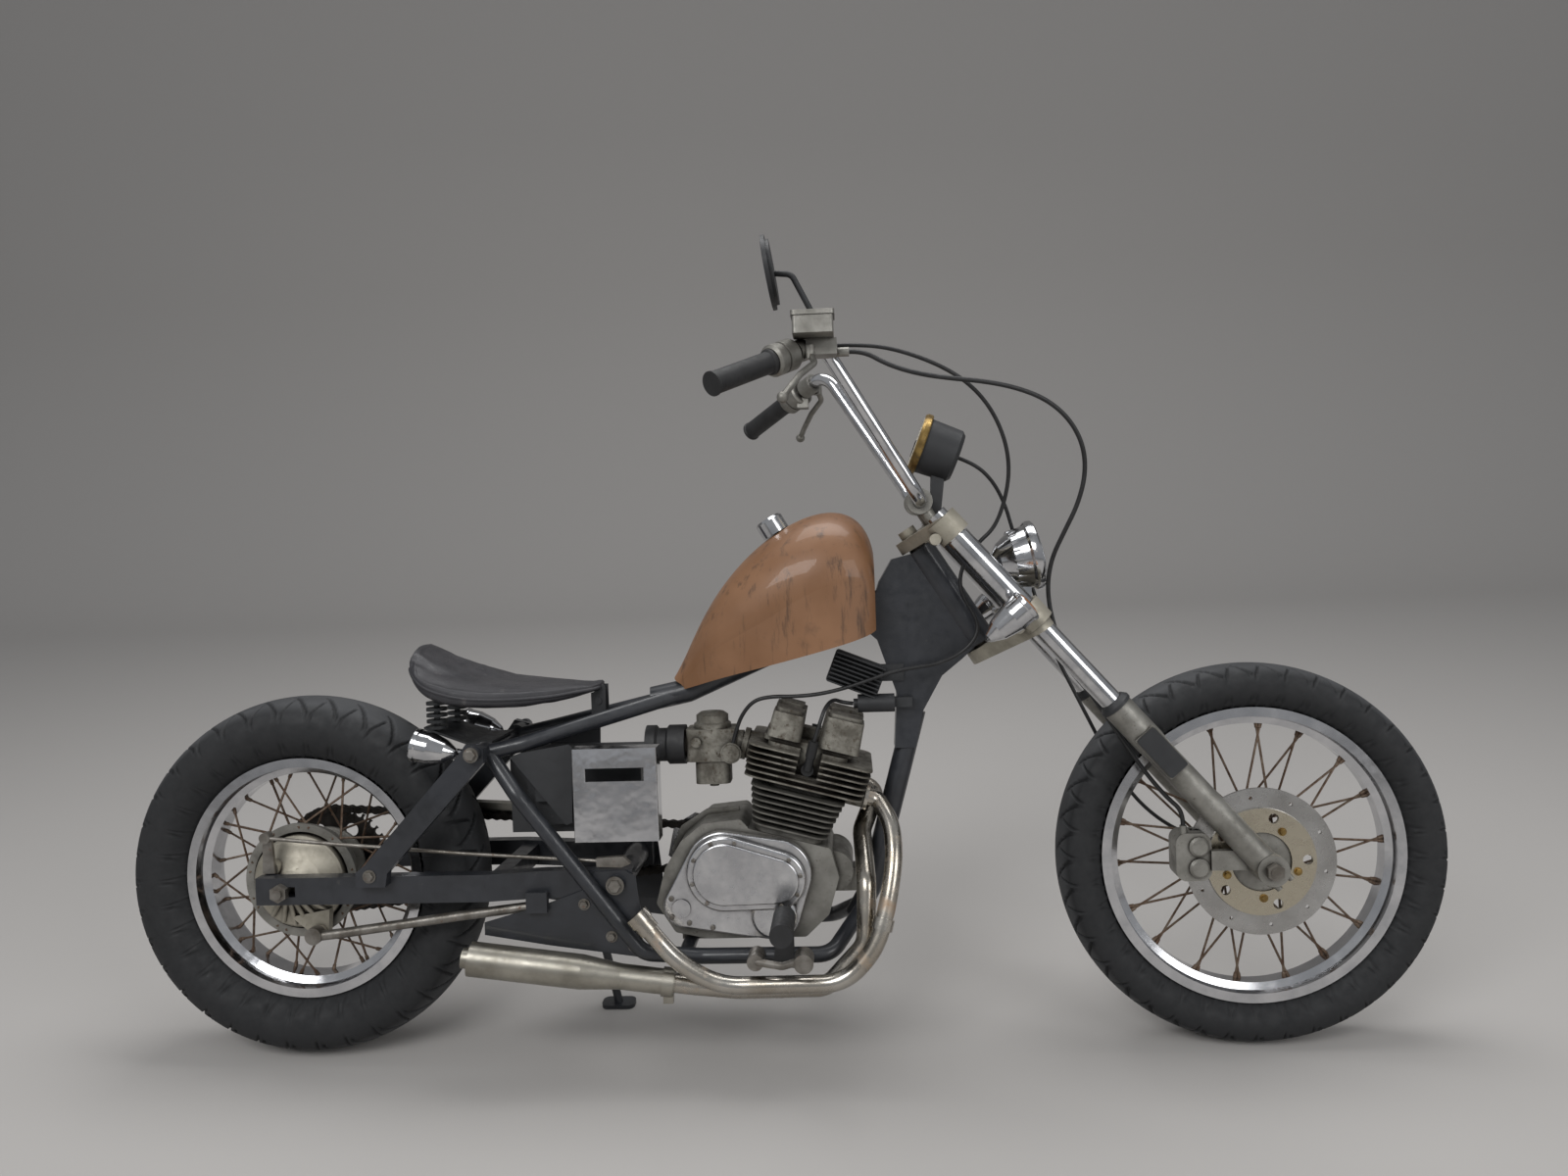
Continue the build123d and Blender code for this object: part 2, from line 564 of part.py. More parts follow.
PLATE_Y = PIVOT_OUTER_Y + 0.5
STAND_PIVOT = (450.0, 258.0)
GUSSET = ((940, 735), (980, 757), (986, 775), (1008, 812), (1042, 820), (1094, 796), (1150, 700),
          (1144, 668), (1120, 646), (1085, 618), (1052, 560), (1038, 500), (1004, 500),
          (1010, 590), (980, 680), (940, 716))
with BuildPart() as frame_main:
    side_plate(GUSSET, -21, 21)
    rod(head_point(-HEAD_HALF), head_point(HEAD_HALF), HEAD_RADIUS)
    bent_tube(((1040, 0, 560), (957, 0, 262), (930, 0, 215)), 20, DOWNTUBE_RADIUS)
    bent_tube(((1010, 0, 752), (660, 0, 602), (600, 0, 590)), 40, BACKBONE_RADIUS)
    for side in SIDES:
        bent_tube(((640, side * 6, 594), (400, side * RAIL_Y, 533), (314, side * RAIL_Y, 515)),
                  45, TUBE)
        bent_tube(((342, side * RAIL_Y, 522), (395, side * LOOP_Y, 455),
                   (590, side * LOOP_Y, 197), (680, side * CRADLE_Y, CRADLE_Z),
                   (890, side * CRADLE_Y, CRADLE_Z), (948, side * 8, 238)), 38, TUBE)
        rod((STRUT_TOP[0], side * (RAIL_Y - 4), STRUT_TOP[1] - 4),
            (STRUT_TOP[0], side * STRUT_Y, STRUT_TOP[1] - 4), 15)
    rod((330, -RAIL_Y, 517), (330, RAIL_Y, 517), TUBE - 1)
    rod((509, -53, 561), (509, 53, 561), 9)
    rod((655, -CRADLE_Y, CRADLE_Z + 4), (655, CRADLE_Y, CRADLE_Z + 4), TUBE - 1)
    rod(head_point(-HEAD_HALF - 30), head_point(HEAD_HALF + 30), STEM_RADIUS + FIT,
        mode=Mode.SUBTRACT)
    for side in SIDES:
        low, high = sorted((side * PLATE_Y, side * (PLATE_Y + 3)))
        side_plate(((498, 298), (514, 326), (562, 328), (580, 318), (586, 262), (588, 186),
                    (434, 208), (330, 226), (330, 246), (430, 274)), low, high)
        rod((PIVOT[0], side * (PLATE_Y + 3), PIVOT[1]), (PIVOT[0], side * (PLATE_Y + 11), PIVOT[1]), 14)
    rod((PIVOT[0], -PLATE_Y - 3, PIVOT[1]), (PIVOT[0], PLATE_Y + 3, PIVOT[1]), 8)
    block((403, -PLATE_Y - 15, 264), (437, -PLATE_Y - 7.5, 297))
    block((422, -PLATE_Y - 8, 266), (437, -PLATE_Y - 2, 295))
    rod((STAND_PIVOT[0], PLATE_Y + 1, STAND_PIVOT[1]), (STAND_PIVOT[0], PLATE_Y + 21, STAND_PIVOT[1]), 7)
    rod((STAND_PIVOT[0], PLATE_Y + 20, STAND_PIVOT[1]), (STAND_PIVOT[0], PLATE_Y + 25, STAND_PIVOT[1]), 11)
frame_main.part.label = "frame_main"


# Engine

TILT = radians(CYLINDER_TILT)
CYLINDER = Plane(origin=(CYLINDER_BASE[0], 0, CYLINDER_BASE[1]),
                 x_dir=(cos(TILT), 0, -sin(TILT)), z_dir=(sin(TILT), 0, cos(TILT)))


def cylinder_point(forward, across, up):
    """A point measured in the leaning cylinder's own directions."""
    return Vector(*CYLINDER.from_local_coords(Vector(forward, across, up)))


CASE_OUTLINE = ((606, 262), (622, 320), (650, 364), (686, 392), (748, 398), (762, 382),
                (893, 348), (906, 300), (888, 240), (850, 204), (690, 203), (636, 214))
CASE_HALF = 72.0
STARTER = (896.0, 303.0, 33.0)
with BuildPart() as engine_cases:
    side_plate(CASE_OUTLINE, -CASE_HALF, CASE_HALF)
    fillet(engine_cases.edges().filter_by(Axis.Y), radius=9)
    side_plate(((622, 330), (640, 372), (684, 400), (740, 404), (740, 340)), -3, 3)
    rod((STARTER[0], -44, STARTER[1]), (STARTER[0], CASE_HALF - 2, STARTER[1]), STARTER[2])
    hub_x, hub_z = DRIVE_SPROCKET
    rod((hub_x, CASE_HALF, hub_z), (hub_x, CHAIN_Y + 8, hub_z), 13)
    sprocket(DRIVE_SPROCKET, DRIVE_TEETH, DRIVE_PINS[0])
    block((640, -28, CRADLE_Z + 4), (690, 28, 232))
    block((890, -24, 264), (952, 24, 300))
    with BuildSketch(CYLINDER) as seat:
        Rectangle(132, 2 * CASE_HALF + 20)
    extrude(seat.sketch, amount=30, mode=Mode.SUBTRACT)
    add(frame_main.part, mode=Mode.SUBTRACT)
engine_cases.part.label = "engine_cases"

# Lobes of the right cover and of the egg-shaped cap on it: x, z, radius
CLUTCH_LOBES = ((655, 262, 34), (718, 322, 60), (806, 312, 56), (800, 248, 42))
CAP_LOBES = ((722, 317, 61), (806, 305, 47))
COVER_DEPTH = 20.0
CAP_DEPTH = 12.0


def lobed(lobes, start_y, shrink=0.0):
    """The outline drawn tightly round circles, on a plane that faces right."""
    with BuildSketch(Plane(origin=(0, start_y, 0), x_dir=(1, 0, 0), z_dir=(0, -1, 0))) as outline:
        for x, z, radius in lobes:
            with Locations((x, z)):
                Circle(radius - shrink)
        make_hull()
    return outline.sketch


with BuildPart() as crankcase_covers:
    extrude(lobed(CLUTCH_LOBES, -CASE_HALF), amount=COVER_DEPTH)
    fillet(crankcase_covers.faces().sort_by(Axis.Y)[0].edges(), radius=3)
    extrude(lobed(CAP_LOBES, -CASE_HALF - COVER_DEPTH), amount=CAP_DEPTH)
    fillet(crankcase_covers.faces().sort_by(Axis.Y)[0].edges(), radius=5)
    extrude(lobed(CAP_LOBES, -CASE_HALF - COVER_DEPTH - CAP_DEPTH, 11), amount=4)
    fillet(crankcase_covers.faces().sort_by(Axis.Y)[0].edges(), radius=3)
    outer_y = CASE_HALF + COVER_DEPTH
    turned(((0, 0), (0, 36), (5, 36), (8, 32), (8, 0)), (800, -outer_y, 246), (0, -1, 0))
    turned(((0, 0), (0, 15), (3, 15), (3, 0)), (650, -outer_y, 260), (0, -1, 0))
    turned(((CASE_HALF, 0), (CASE_HALF, 73), (CASE_HALF + 18, 73), (CASE_HALF + 28, 64),
            (CASE_HALF + 28, 40), (CASE_HALF + 34, 36), (CASE_HALF + 34, 0)), (802, 0, 298), ACROSS)
    side_plate(((600, 296), (612, 350), (650, 372), (712, 356), (712, 284), (650, 264)),
               CASE_HALF + 22, CASE_HALF + 27)
    for x, z in ((706, 348), (706, 292)):
        rod((x, CASE_HALF, z), (x, CASE_HALF + 22, z), 7)
crankcase_covers.part.label = "crankcase_covers"

BARREL_HEIGHT = 84.0
BARREL_FIN_START = 13.0
PORT_Y = 40.0
PORT_HEIGHT = 91.0
PORT_FACE = 107.0
HEAD_HEIGHT = 64.0
HEAD_FIN_START = 4.0
INTAKE_Y = -4.0
INTAKE_FACE = -100.0
INTAKE_HEIGHT = 122.0
PLUG_X = 6.0
PLUG_WELL = 36.0
with BuildPart() as cylinder_block:
    with BuildSketch(CYLINDER):
        RectangleRounded(112, 2 * CASE_HALF - 2, 20)
    extrude(amount=10)
    with BuildSketch(CYLINDER.offset(10)):
        RectangleRounded(100, 2 * CASE_HALF - 12, 20)
    extrude(amount=BARREL_HEIGHT - 10)
    for fin in range(BARREL_FINS):
        with BuildSketch(CYLINDER.offset(BARREL_FIN_START + fin * FIN_PITCH)):
            RectangleRounded(126 + 5 * fin, 174 + 2 * fin, 22)
        extrude(amount=FIN_THICKNESS)
cylinder_block.part.label = "cylinder_block"

with BuildPart() as cylinder_head:
    with BuildSketch(CYLINDER.offset(BARREL_HEIGHT)):
        RectangleRounded(132, 152, 16)
    extrude(amount=HEAD_HEIGHT)
    for fin in range(HEAD_FINS):
        with BuildSketch(CYLINDER.offset(BARREL_HEIGHT + HEAD_FIN_START + fin * FIN_PITCH)):
            with Locations((6, 0)):
                RectangleRounded(196 + 2 * fin, 190, 18)
        extrude(amount=FIN_THICKNESS)
    with BuildSketch(CYLINDER.offset(BARREL_HEIGHT + 22)):
        with Locations((PLUG_X, -92), (PLUG_X, 92)):
            Rectangle(PLUG_WELL, 60)
    extrude(amount=HEAD_HEIGHT, mode=Mode.SUBTRACT)
    for side in SIDES:
        rod(cylinder_point(50, side * PORT_Y, PORT_HEIGHT),
            cylinder_point(PORT_FACE, side * PORT_Y, PORT_HEIGHT), 20)
    rod(cylinder_point(-50, INTAKE_Y, INTAKE_HEIGHT),
        cylinder_point(INTAKE_FACE, INTAKE_Y, INTAKE_HEIGHT), 24)
    add(cylinder_block.part, mode=Mode.SUBTRACT)
cylinder_head.part.label = "cylinder_head"

COVER_BASE = BARREL_HEIGHT + HEAD_HEIGHT
# Rocker boxes: middle, length, height
ROCKER_BOXES = ((-43, 56, 48), (48, 68, 58))
with BuildPart() as valve_cover:
    with BuildSketch(CYLINDER.offset(COVER_BASE)):
        RectangleRounded(150, 124, 12)
    extrude(amount=8)
    for middle, length, height in ROCKER_BOXES:
        for side in SIDES:
            with BuildSketch(CYLINDER.offset(COVER_BASE + 8)):
                with Locations((middle, side * 42)):
                    RectangleRounded(length, 66, 9)
            extrude(amount=height - 6, taper=3)
            with BuildSketch(CYLINDER.offset(COVER_BASE + 2 + height)):
                with Locations((middle, side * 42)):
                    RectangleRounded(length - 14, 50, 8)
            extrude(amount=6)
    with BuildSketch(CYLINDER.offset(COVER_BASE + 8)):
        Rectangle(120, 30)
    extrude(amount=18)
valve_cover.part.label = "valve_cover"

PLUG_CAP_TOP = 166.0
with BuildPart() as spark_plugs:
    for side in SIDES:
        foot = cylinder_point(PLUG_X, side * 62.3, BARREL_HEIGHT + 34)
        elbow = cylinder_point(PLUG_X, side * 86, BARREL_HEIGHT + 34)
        top = cylinder_point(PLUG_X, side * 88, PLUG_CAP_TOP)
        rod(foot, elbow, 7)
        rod(cylinder_point(PLUG_X, side * 66, BARREL_HEIGHT + 34), elbow, 10)
        rod(elbow, top, 7)
        rod(cylinder_point(PLUG_X, side * 87, PLUG_CAP_TOP - 26), top, 8.5)
spark_plugs.part.label = "spark_plugs"


# Intake and exhaust

BOX_FRONT = 588.0
BOX_HALF = 72.0
CARB_Z = 512.0
CARB_X = 700.0
BOOT_LENGTH = 66.0
BOOT_BORE = 21.0
with BuildPart() as intake_boot:
    turned(((0, BOOT_BORE), (0, 33), (16, 33), (20, 28), (34, 28), (38, 33), (BOOT_LENGTH, 33),
            (BOOT_LENGTH, BOOT_BORE)), (BOX_FRONT + FIT, INTAKE_Y, CARB_Z), (1, 0, 0))
intake_boot.part.label = "intake_boot"

with BuildPart() as carburettor:
    body_back = BOX_FRONT + BOOT_LENGTH + 4
    block((body_back, -34, 486), (742, 26, 540))
    fillet(carburettor.edges().filter_by(Axis.Z), radius=8)
    rod((body_back - 22, INTAKE_Y, CARB_Z), (body_back + 8, INTAKE_Y, CARB_Z), BOOT_BORE - FIT)
    turned(((0, 0), (0, 31), (8, 31), (11, 27), (22, 27), (27, 20), (28, 0)),
           (CARB_X, INTAKE_Y, 539), (0, 0, 1))
    with BuildSketch(Plane(origin=(CARB_X, INTAKE_Y, 448))) as bowl:
        RectangleRounded(58, 52, 12)
    extrude(bowl.sketch, amount=39)
    rod((CARB_X, INTAKE_Y, 441), (CARB_X, INTAKE_Y, 449), 8)
    turned(((0, 0), (0, 12), (10, 12), (10, 17), (15, 17), (15, 14), (17, 14), (17, 6), (17, 0)),
           (734, -33, 502), (0, -1, 0))
    rod((676, -33, 520), (676, -44, 520), 8)
    rod(cylinder_point(INTAKE_FACE - FIT, INTAKE_Y, INTAKE_HEIGHT),
        cylinder_point(INTAKE_FACE - 9, INTAKE_Y, INTAKE_HEIGHT), 27)
    rod(cylinder_point(INTAKE_FACE - 7, INTAKE_Y, INTAKE_HEIGHT), (734, INTAKE_Y, CARB_Z), 22)
carburettor.part.label = "carburettor"

MUFFLER_FRONT = Vector(640, -122, 150)
MUFFLER_REAR = Vector(305, -146, 203)
MUFFLER_RUN = (MUFFLER_REAR - MUFFLER_FRONT).normalized()
LEFT_HEADER = (cylinder_point(PORT_FACE, PORT_Y, PORT_HEIGHT),
               cylinder_point(PORT_FACE + 24, PORT_Y, PORT_HEIGHT),
               (945, -16, 364), (950, -90, 296), (946, -114, 205), (882, -114, 138),
               (740, -114, 136), MUFFLER_FRONT - MUFFLER_RUN * 30, MUFFLER_FRONT + MUFFLER_RUN * 20)
RIGHT_HEADER = (cylinder_point(PORT_FACE, -PORT_Y, PORT_HEIGHT),
                cylinder_point(PORT_FACE + 22, -PORT_Y, PORT_HEIGHT),
                (994, -72, 386), (995, -102, 338), (984, -124, 280), (962, -141, 208),
                (910, -143, 154), (715, -143, 152), (648, -142, 190), (592, -138, 256))
HEADER_RADIUS = 14.0
HEADER_WALL = 2.0
with BuildPart() as header_pipes:
    left_bends = [18] + [min(bend, 40) for bend in widest_bends(LEFT_HEADER)[1:]]
    bent_tube(LEFT_HEADER, left_bends, HEADER_RADIUS + 1.5, HEADER_RADIUS + 1.5 - HEADER_WALL)
    swept_tube(RIGHT_HEADER, HEADER_RADIUS, HEADER_RADIUS - HEADER_WALL)
    rod((606, -138.8, 239.5), (595, -138.2, 252.5), 17)
    rod((595, -138.2, 252.5), (584, -137.5, 265.5), 19)
    for side in SIDES:
        rod(cylinder_point(PORT_FACE + FIT, side * PORT_Y, PORT_HEIGHT),
            cylinder_point(PORT_FACE + 6, side * PORT_Y, PORT_HEIGHT), 23)
    strap_low = Vector(970.4, -134.5, 235.6)
    strap_high = Vector(975.6, -130.5, 252.4)
    rod(strap_low, strap_high, HEADER_RADIUS + 3)
header_pipes.part.label = "header_pipes"

MUFFLER_LENGTH = (MUFFLER_REAR - MUFFLER_FRONT).length
CLAMP_RADIUS = 23.0
with BuildPart() as muffler:
    turned(((0, 16), (0, 20), (2, 20), (2, CLAMP_RADIUS), (20, CLAMP_RADIUS), (20, 20), (88, 20),
            (150, 27), (MUFFLER_LENGTH - 12, 27), (MUFFLER_LENGTH - 12, 16), (MUFFLER_LENGTH, 16),
            (MUFFLER_LENGTH, 13), (150, 13), (90, 16)), MUFFLER_FRONT, MUFFLER_RUN)
    lug = MUFFLER_FRONT + MUFFLER_RUN * 11
    block((lug.X - 8, lug.Y - 6, lug.Z - CLAMP_RADIUS - 10), (lug.X + 8, lug.Y + 6, lug.Z - 21))
muffler.part.label = "muffler"


# Body

# Tank sections: x, half width, bottom z, shoulder z, top z
TANK_SECTIONS = (
    (636, 14, 604, 610, 622),
    (690, 54, 618, 655, 722),
    (760, 86, 638, 700, 815),
    (840, 104, 658, 745, 874),
    (910, 106, 676, 775, 893),
    (958, 92, 690, 775, 872),
    (978, 76, 700, 768, 825),
)
TUNNEL_RADIUS = 27.0
with BuildPart() as tank:
    for x, width, bottom, shoulder, top in TANK_SECTIONS:
        with BuildSketch(Plane(origin=(x, 0, 0), x_dir=(0, 1, 0), z_dir=(1, 0, 0))):
            with BuildLine():
                Polyline((width, shoulder), (width * 0.96, bottom), (-width * 0.96, bottom),
                         (-width, shoulder))
                ThreePointArc((-width, shoulder), (0, top), (width, shoulder))
            make_face()
    loft()
    bent_tube(((1010, 0, 752), (660, 0, 602), (600, 0, 590)), 40, TUNNEL_RADIUS,
              mode=Mode.SUBTRACT)
    side_plate(((1010, 752), (660, 602), (600, 590), (600, 520), (1010, 640)),
               -TUNNEL_RADIUS, TUNNEL_RADIUS, mode=Mode.SUBTRACT)
tank.part.label = "tank"

with BuildPart() as tank_cap:
    turned(((-12, 0), (-12, 24), (12, 24), (16, 20), (16, 0)), (812, 0, 872), (-0.5, 0, 0.866))
    add(tank.part, mode=Mode.SUBTRACT)
tank_cap.part.label = "tank_cap"

# Saddle sections: x, half width, underside z, edge z, top z
SADDLE_SECTIONS = (
    (208, 70, 640, 662, 690),
    (240, 112, 608, 640, 668),
    (310, 128, 588, 618, 646),
    (390, 108, 586, 610, 636),
    (460, 62, 594, 612, 634),
    (512, 26, 606, 616, 628),
)
with BuildPart() as saddle:
    for x, width, under, edge, top in SADDLE_SECTIONS:
        with BuildSketch(Plane(origin=(x, 0, 0), x_dir=(0, 1, 0), z_dir=(1, 0, 0))):
            with BuildLine():
                ThreePointArc((-width, edge), (0, top), (width, edge))
                ThreePointArc((width, edge), (0, under), (-width, edge))
            make_face()
    loft()
saddle.part.label = "saddle"

SPRING_TURNS = 5
with BuildPart() as saddle_mount:
    side_plate(((300, 528), (340, 530), (340, 534), (300, 532), (226, 560), (226, 556)), -62, 62)
    rod((509, -16, 590), (509, 16, 590), 6)
    for y in (-14, 10):
        side_plate(((497, 562), (521, 562), (521, 616), (497, 616)), y, y + 4)
    for side in SIDES:
        rod((244, side * 48, 548), (244, side * 48, 622), 5)
        for turn in range(SPRING_TURNS):
            turned(((turn * 10 - 2.5, 5), (turn * 10 - 2.5, 17), (turn * 10 + 2.5, 17),
                    (turn * 10 + 2.5, 5)), (244, side * 48, 558), (0, 0, 1))
    add(saddle.part, mode=Mode.SUBTRACT)
    add(frame_main.part, mode=Mode.SUBTRACT)
saddle_mount.part.label = "saddle_mount"

COVER_INNER_Y = 100.0
with BuildPart() as side_covers:
    for side in SIDES:
        low, high = sorted((side * COVER_INNER_Y, side * (COVER_INNER_Y + 5)))
        side_plate(((382, 514), (398, 520), (478, 532), (484, 526), (480, 406), (470, 402)),
                   low, high)
side_covers.part.label = "side_covers"

with BuildPart() as polished_cover:
    block((491, -138, 382), (626, -104, 530))
    block((494, -135, 385), (623, -100, 527), mode=Mode.SUBTRACT)
    block((512, -140, 478), (604, -130, 499), mode=Mode.SUBTRACT)
    fillet(polished_cover.edges().filter_by(Axis.Z).group_by(Axis.Y)[0], radius=2.5)
    for x, z in ((516, 420), (572, 440)):
        rod((x, -BOX_HALF - FIT, z), (x, -136, z), 7)
polished_cover.part.label = "polished_cover"

with BuildPart() as battery_box:
    block((372, -BOX_HALF, 384), (BOX_FRONT, BOX_HALF, 505))
    block((404, -88, 400), (480, 88, 500))
    block((420, -99.7, 440), (440, 99.7, 460))
battery_box.part.label = "battery_box"

GUSSET_SIDE = 21.0
COIL_Z = 578.0
REGULATOR = Plane(origin=(944, -GUSSET_SIDE - FIT, 626), x_dir=(0.927, 0, -0.375), z_dir=(0, -1, 0))
with BuildPart() as electrics:
    with BuildSketch(REGULATOR) as back:
        RectangleRounded(88, 56, 5)
    extrude(back.sketch, amount=12)
    with BuildSketch(REGULATOR.offset(12)) as fins:
        with GridLocations(0, 7, 1, 8):
            Rectangle(84, 2.4)
    extrude(fins.sketch, amount=18)
    block((972, -GUSSET_SIDE - FIT - 5, 612), (1022, -GUSSET_SIDE - FIT, 640))
    rod((945, -38, COIL_Z), (1005, -38, COIL_Z), 15)
    rod((938, -38, COIL_Z), (946, -38, COIL_Z), 8)
    block((976, -38, COIL_Z - 8), (1034, -GUSSET_SIDE - FIT, COIL_Z + 8))
    add(frame_main.part, mode=Mode.SUBTRACT)
electrics.part.label = "electrics"

PLUG_LEAD = (cylinder_point(PLUG_X, -88, PLUG_CAP_TOP + 0.8), (884, -88, 557), (893, -77, 580),
             (906, -52, 588), (920, -38.5, 580), (937.6, -38, COIL_Z))
with BuildPart() as plug_lead:
    cable(PLUG_LEAD, 3.2)
plug_lead.part.label = "plug_lead"


# Lamps, pegs, pedal, stand

def bullet_lamp(centre, direction, radius, length):
    """A bullet-shaped lamp: flat lens, round shell and pointed end."""
    turned(((0, 0), (0, radius - 2), (3, radius), (length * 0.35, radius),
            (length * 0.7, radius * 0.72), (length * 0.92, radius * 0.32), (length, 0)),
           centre, direction)


with BuildPart() as rear_signals:
    for side in SIDES:
        bullet_lamp((232, side * 118, 540), (0.97, 0, -0.24), 26, 74)
        rod((322, side * RAIL_Y, 517), (262, side * 116, 533), 6)
    add(frame_main.part, mode=Mode.SUBTRACT)
rear_signals.part.label = "rear_signals"

PEG_POINT = (818, 252)
PEG_PLATE_Y = CRADLE_Y + TUBE + FIT
with BuildPart() as footpegs:
    for side in SIDES:
        low, high = sorted((side * PEG_PLATE_Y, side * (PEG_PLATE_Y + 7)))
        side_plate(((798, CRADLE_Z - 14), (832, CRADLE_Z - 14), (832, PEG_POINT[1] + 8),
                    (806, PEG_POINT[1] + 8)), low, high)
        rod((PEG_POINT[0], side * (PEG_PLATE_Y + 7), PEG_POINT[1]),
            (PEG_POINT[0], side * 210, PEG_POINT[1]), 18)
footpegs.part.label = "footpegs"

with BuildPart() as foot_controls:
    rod((772, -PEG_PLATE_Y, 191), (772, -152, 191), 13)
    bent_tube(((772, -146, 191), (815, -164, 190), (850, -176, 204)), 20, 6)
    rod((850, -160, 204), (850, -196, 204), 15)
    rod((700, CASE_HALF, 222), (700, 134, 222), 9)
    bent_tube(((700, 128, 222), (790, 138, 206), (880, 142, 224)), 30, 6)
    rod((880, 132, 224), (880, 174, 224), 10)
foot_controls.part.label = "foot_controls"

STAND_FOOT = (494.0, 126.0)
STAND_LEG_Y = PLATE_Y + 11.7
with BuildPart() as side_stand:
    pivot_x, pivot_z = STAND_PIVOT
    foot_x, foot_y = STAND_FOOT
    foot_z = foot_y * tan(radians(LEAN)) - GROUND_LIFT / cos(radians(LEAN))
    ground = Plane(origin=(foot_x, foot_y, foot_z), x_dir=(1, 0, 0),
                   z_dir=(0, -sin(radians(LEAN)), cos(radians(LEAN))))
    rod((pivot_x, PLATE_Y + 3.3, pivot_z), (pivot_x, PLATE_Y + 19.7, pivot_z), 15)
    bent_tube(((pivot_x, STAND_LEG_Y, pivot_z), (458, STAND_LEG_Y, 200), (foot_x, foot_y, foot_z + 4)),
              60, 7.5)
    with BuildSketch(ground) as pad:
        RectangleRounded(60, 34, 12)
    extrude(pad.sketch, amount=7)
    rod((pivot_x, PLATE_Y, pivot_z), (pivot_x, PLATE_Y + 30, pivot_z), 7 + FIT, mode=Mode.SUBTRACT)
side_stand.part.label = "side_stand"


# Steering

YOKE_RADIUS = 27.0
PINCH_BACK = -28.0
HEAD = Plane(origin=(HEAD_POINT[0], 0, HEAD_POINT[1]),
             x_dir=(cos(radians(HEAD_ANGLE)), 0, sin(radians(HEAD_ANGLE))),
             z_dir=(-sin(radians(HEAD_ANGLE)), 0, cos(radians(HEAD_ANGLE))))


def yoke(station, plate_low, plate_high, boss_radius):
    """Two fork clamps joined by a plate that is square to the steering axis."""
    forward = HEAD.to_local_coords(fork_point(station)).X
    with BuildSketch(HEAD.offset(plate_low)) as plate:
        Circle(boss_radius)
        with Locations((forward, FORK_HALF), (forward, -FORK_HALF)):
            Circle(YOKE_RADIUS - 4)
        make_hull()
    extrude(plate.sketch, amount=plate_high - plate_low)
    for side in SIDES:
        low = fork_point(station - YOKE_HEIGHT / 2, side * FORK_HALF)
        high = fork_point(station + YOKE_HEIGHT / 2, side * FORK_HALF)
        rod(low, high, YOKE_RADIUS)
        rod(fork_point(station, side * (FORK_HALF - 19), PINCH_BACK),
            fork_point(station, side * (FORK_HALF + 19), PINCH_BACK), 9)
    for side in SIDES:
        low = fork_point(station - 60, side * FORK_HALF)
        high = fork_point(station + 60, side * FORK_HALF)
        rod(low, high, STANCHION_RADIUS + FIT, mode=Mode.SUBTRACT)


with BuildPart() as lower_yoke:
    yoke(LOWER_YOKE, -HEAD_HALF - 27, -HEAD_HALF - 5, 30)
    rod(head_point(-HEAD_HALF - 20), head_point(HEAD_HALF + 38), STEM_RADIUS)
lower_yoke.part.label = "lower_yoke"

with BuildPart() as top_yoke:
    yoke(TOP_YOKE, HEAD_HALF + 5, HEAD_HALF + 25, 28)
    rod(head_point(HEAD_HALF), head_point(HEAD_HALF + 60), STEM_RADIUS + FIT, mode=Mode.SUBTRACT)
top_yoke.part.label = "top_yoke"

with BuildPart() as fork_stanchions:
    for side in SIDES:
        rod(fork_point(60, side * FORK_HALF), fork_point(TOP_YOKE + YOKE_HEIGHT / 2 + 10, side * FORK_HALF),
            STANCHION_RADIUS)
        turned(((0, STANCHION_RADIUS + FIT), (0, COVER_RADIUS), (150, COVER_RADIUS),
                (150, STANCHION_RADIUS + FIT)),
               fork_point(LOWER_YOKE + YOKE_HEIGHT / 2 + 1, side * FORK_HALF),
               fork_point(1) - fork_point(0))
fork_stanchions.part.label = "fork_stanchions"

REFLECTOR_AT = 252.0
REFLECTOR_SIZE = (34.0, 78.0)
LUG_RADIUS = 24.6
with BuildPart() as fork_sliders:
    for side in SIDES:
        foot = fork_point(-26, side * FORK_HALF)
        up = fork_point(1) - fork_point(0)
        turned(((0, 0), (0, SLIDER_RADIUS - 6), (6, SLIDER_RADIUS - 2), (SLIDER_TOP - 70, SLIDER_RADIUS - 2),
                (SLIDER_TOP - 50, SLIDER_RADIUS), (SLIDER_TOP + 26, SLIDER_RADIUS), (SLIDER_TOP + 26, 0)),
               foot, up)
        rod((WHEELBASE, side * (FORK_HALF - 22), FRONT_RADIUS),
            (WHEELBASE, side * (FORK_HALF + SLIDER_RADIUS - 1), FRONT_RADIUS), LUG_RADIUS)
        rod(fork_point(-30, side * (FORK_HALF + 14), -12), fork_point(4, side * (FORK_HALF + 14), -12), 5)
        rod(fork_point(-30, side * (FORK_HALF + 14), 12), fork_point(4, side * (FORK_HALF + 14), 12), 5)
        panel = Plane(origin=fork_point(REFLECTOR_AT, side * (FORK_HALF + 15)), z_dir=(0, side, 0),
                      x_dir=fork_point(0, 0, 1) - fork_point(0))
        with BuildSketch(panel) as backing:
            RectangleRounded(REFLECTOR_SIZE[0] + 4, REFLECTOR_SIZE[1] + 4, 4)
        extrude(backing.sketch, amount=SLIDER_RADIUS - 13)
        rod(fork_point(55, side * FORK_HALF), fork_point(SLIDER_TOP + 1, side * FORK_HALF),
            STANCHION_RADIUS + FIT, mode=Mode.SUBTRACT)
        rod((WHEELBASE, side * (FORK_HALF - 30), FRONT_RADIUS),
            (WHEELBASE, side * (FORK_HALF + 30), FRONT_RADIUS), AXLE_RADIUS + FIT, mode=Mode.SUBTRACT)
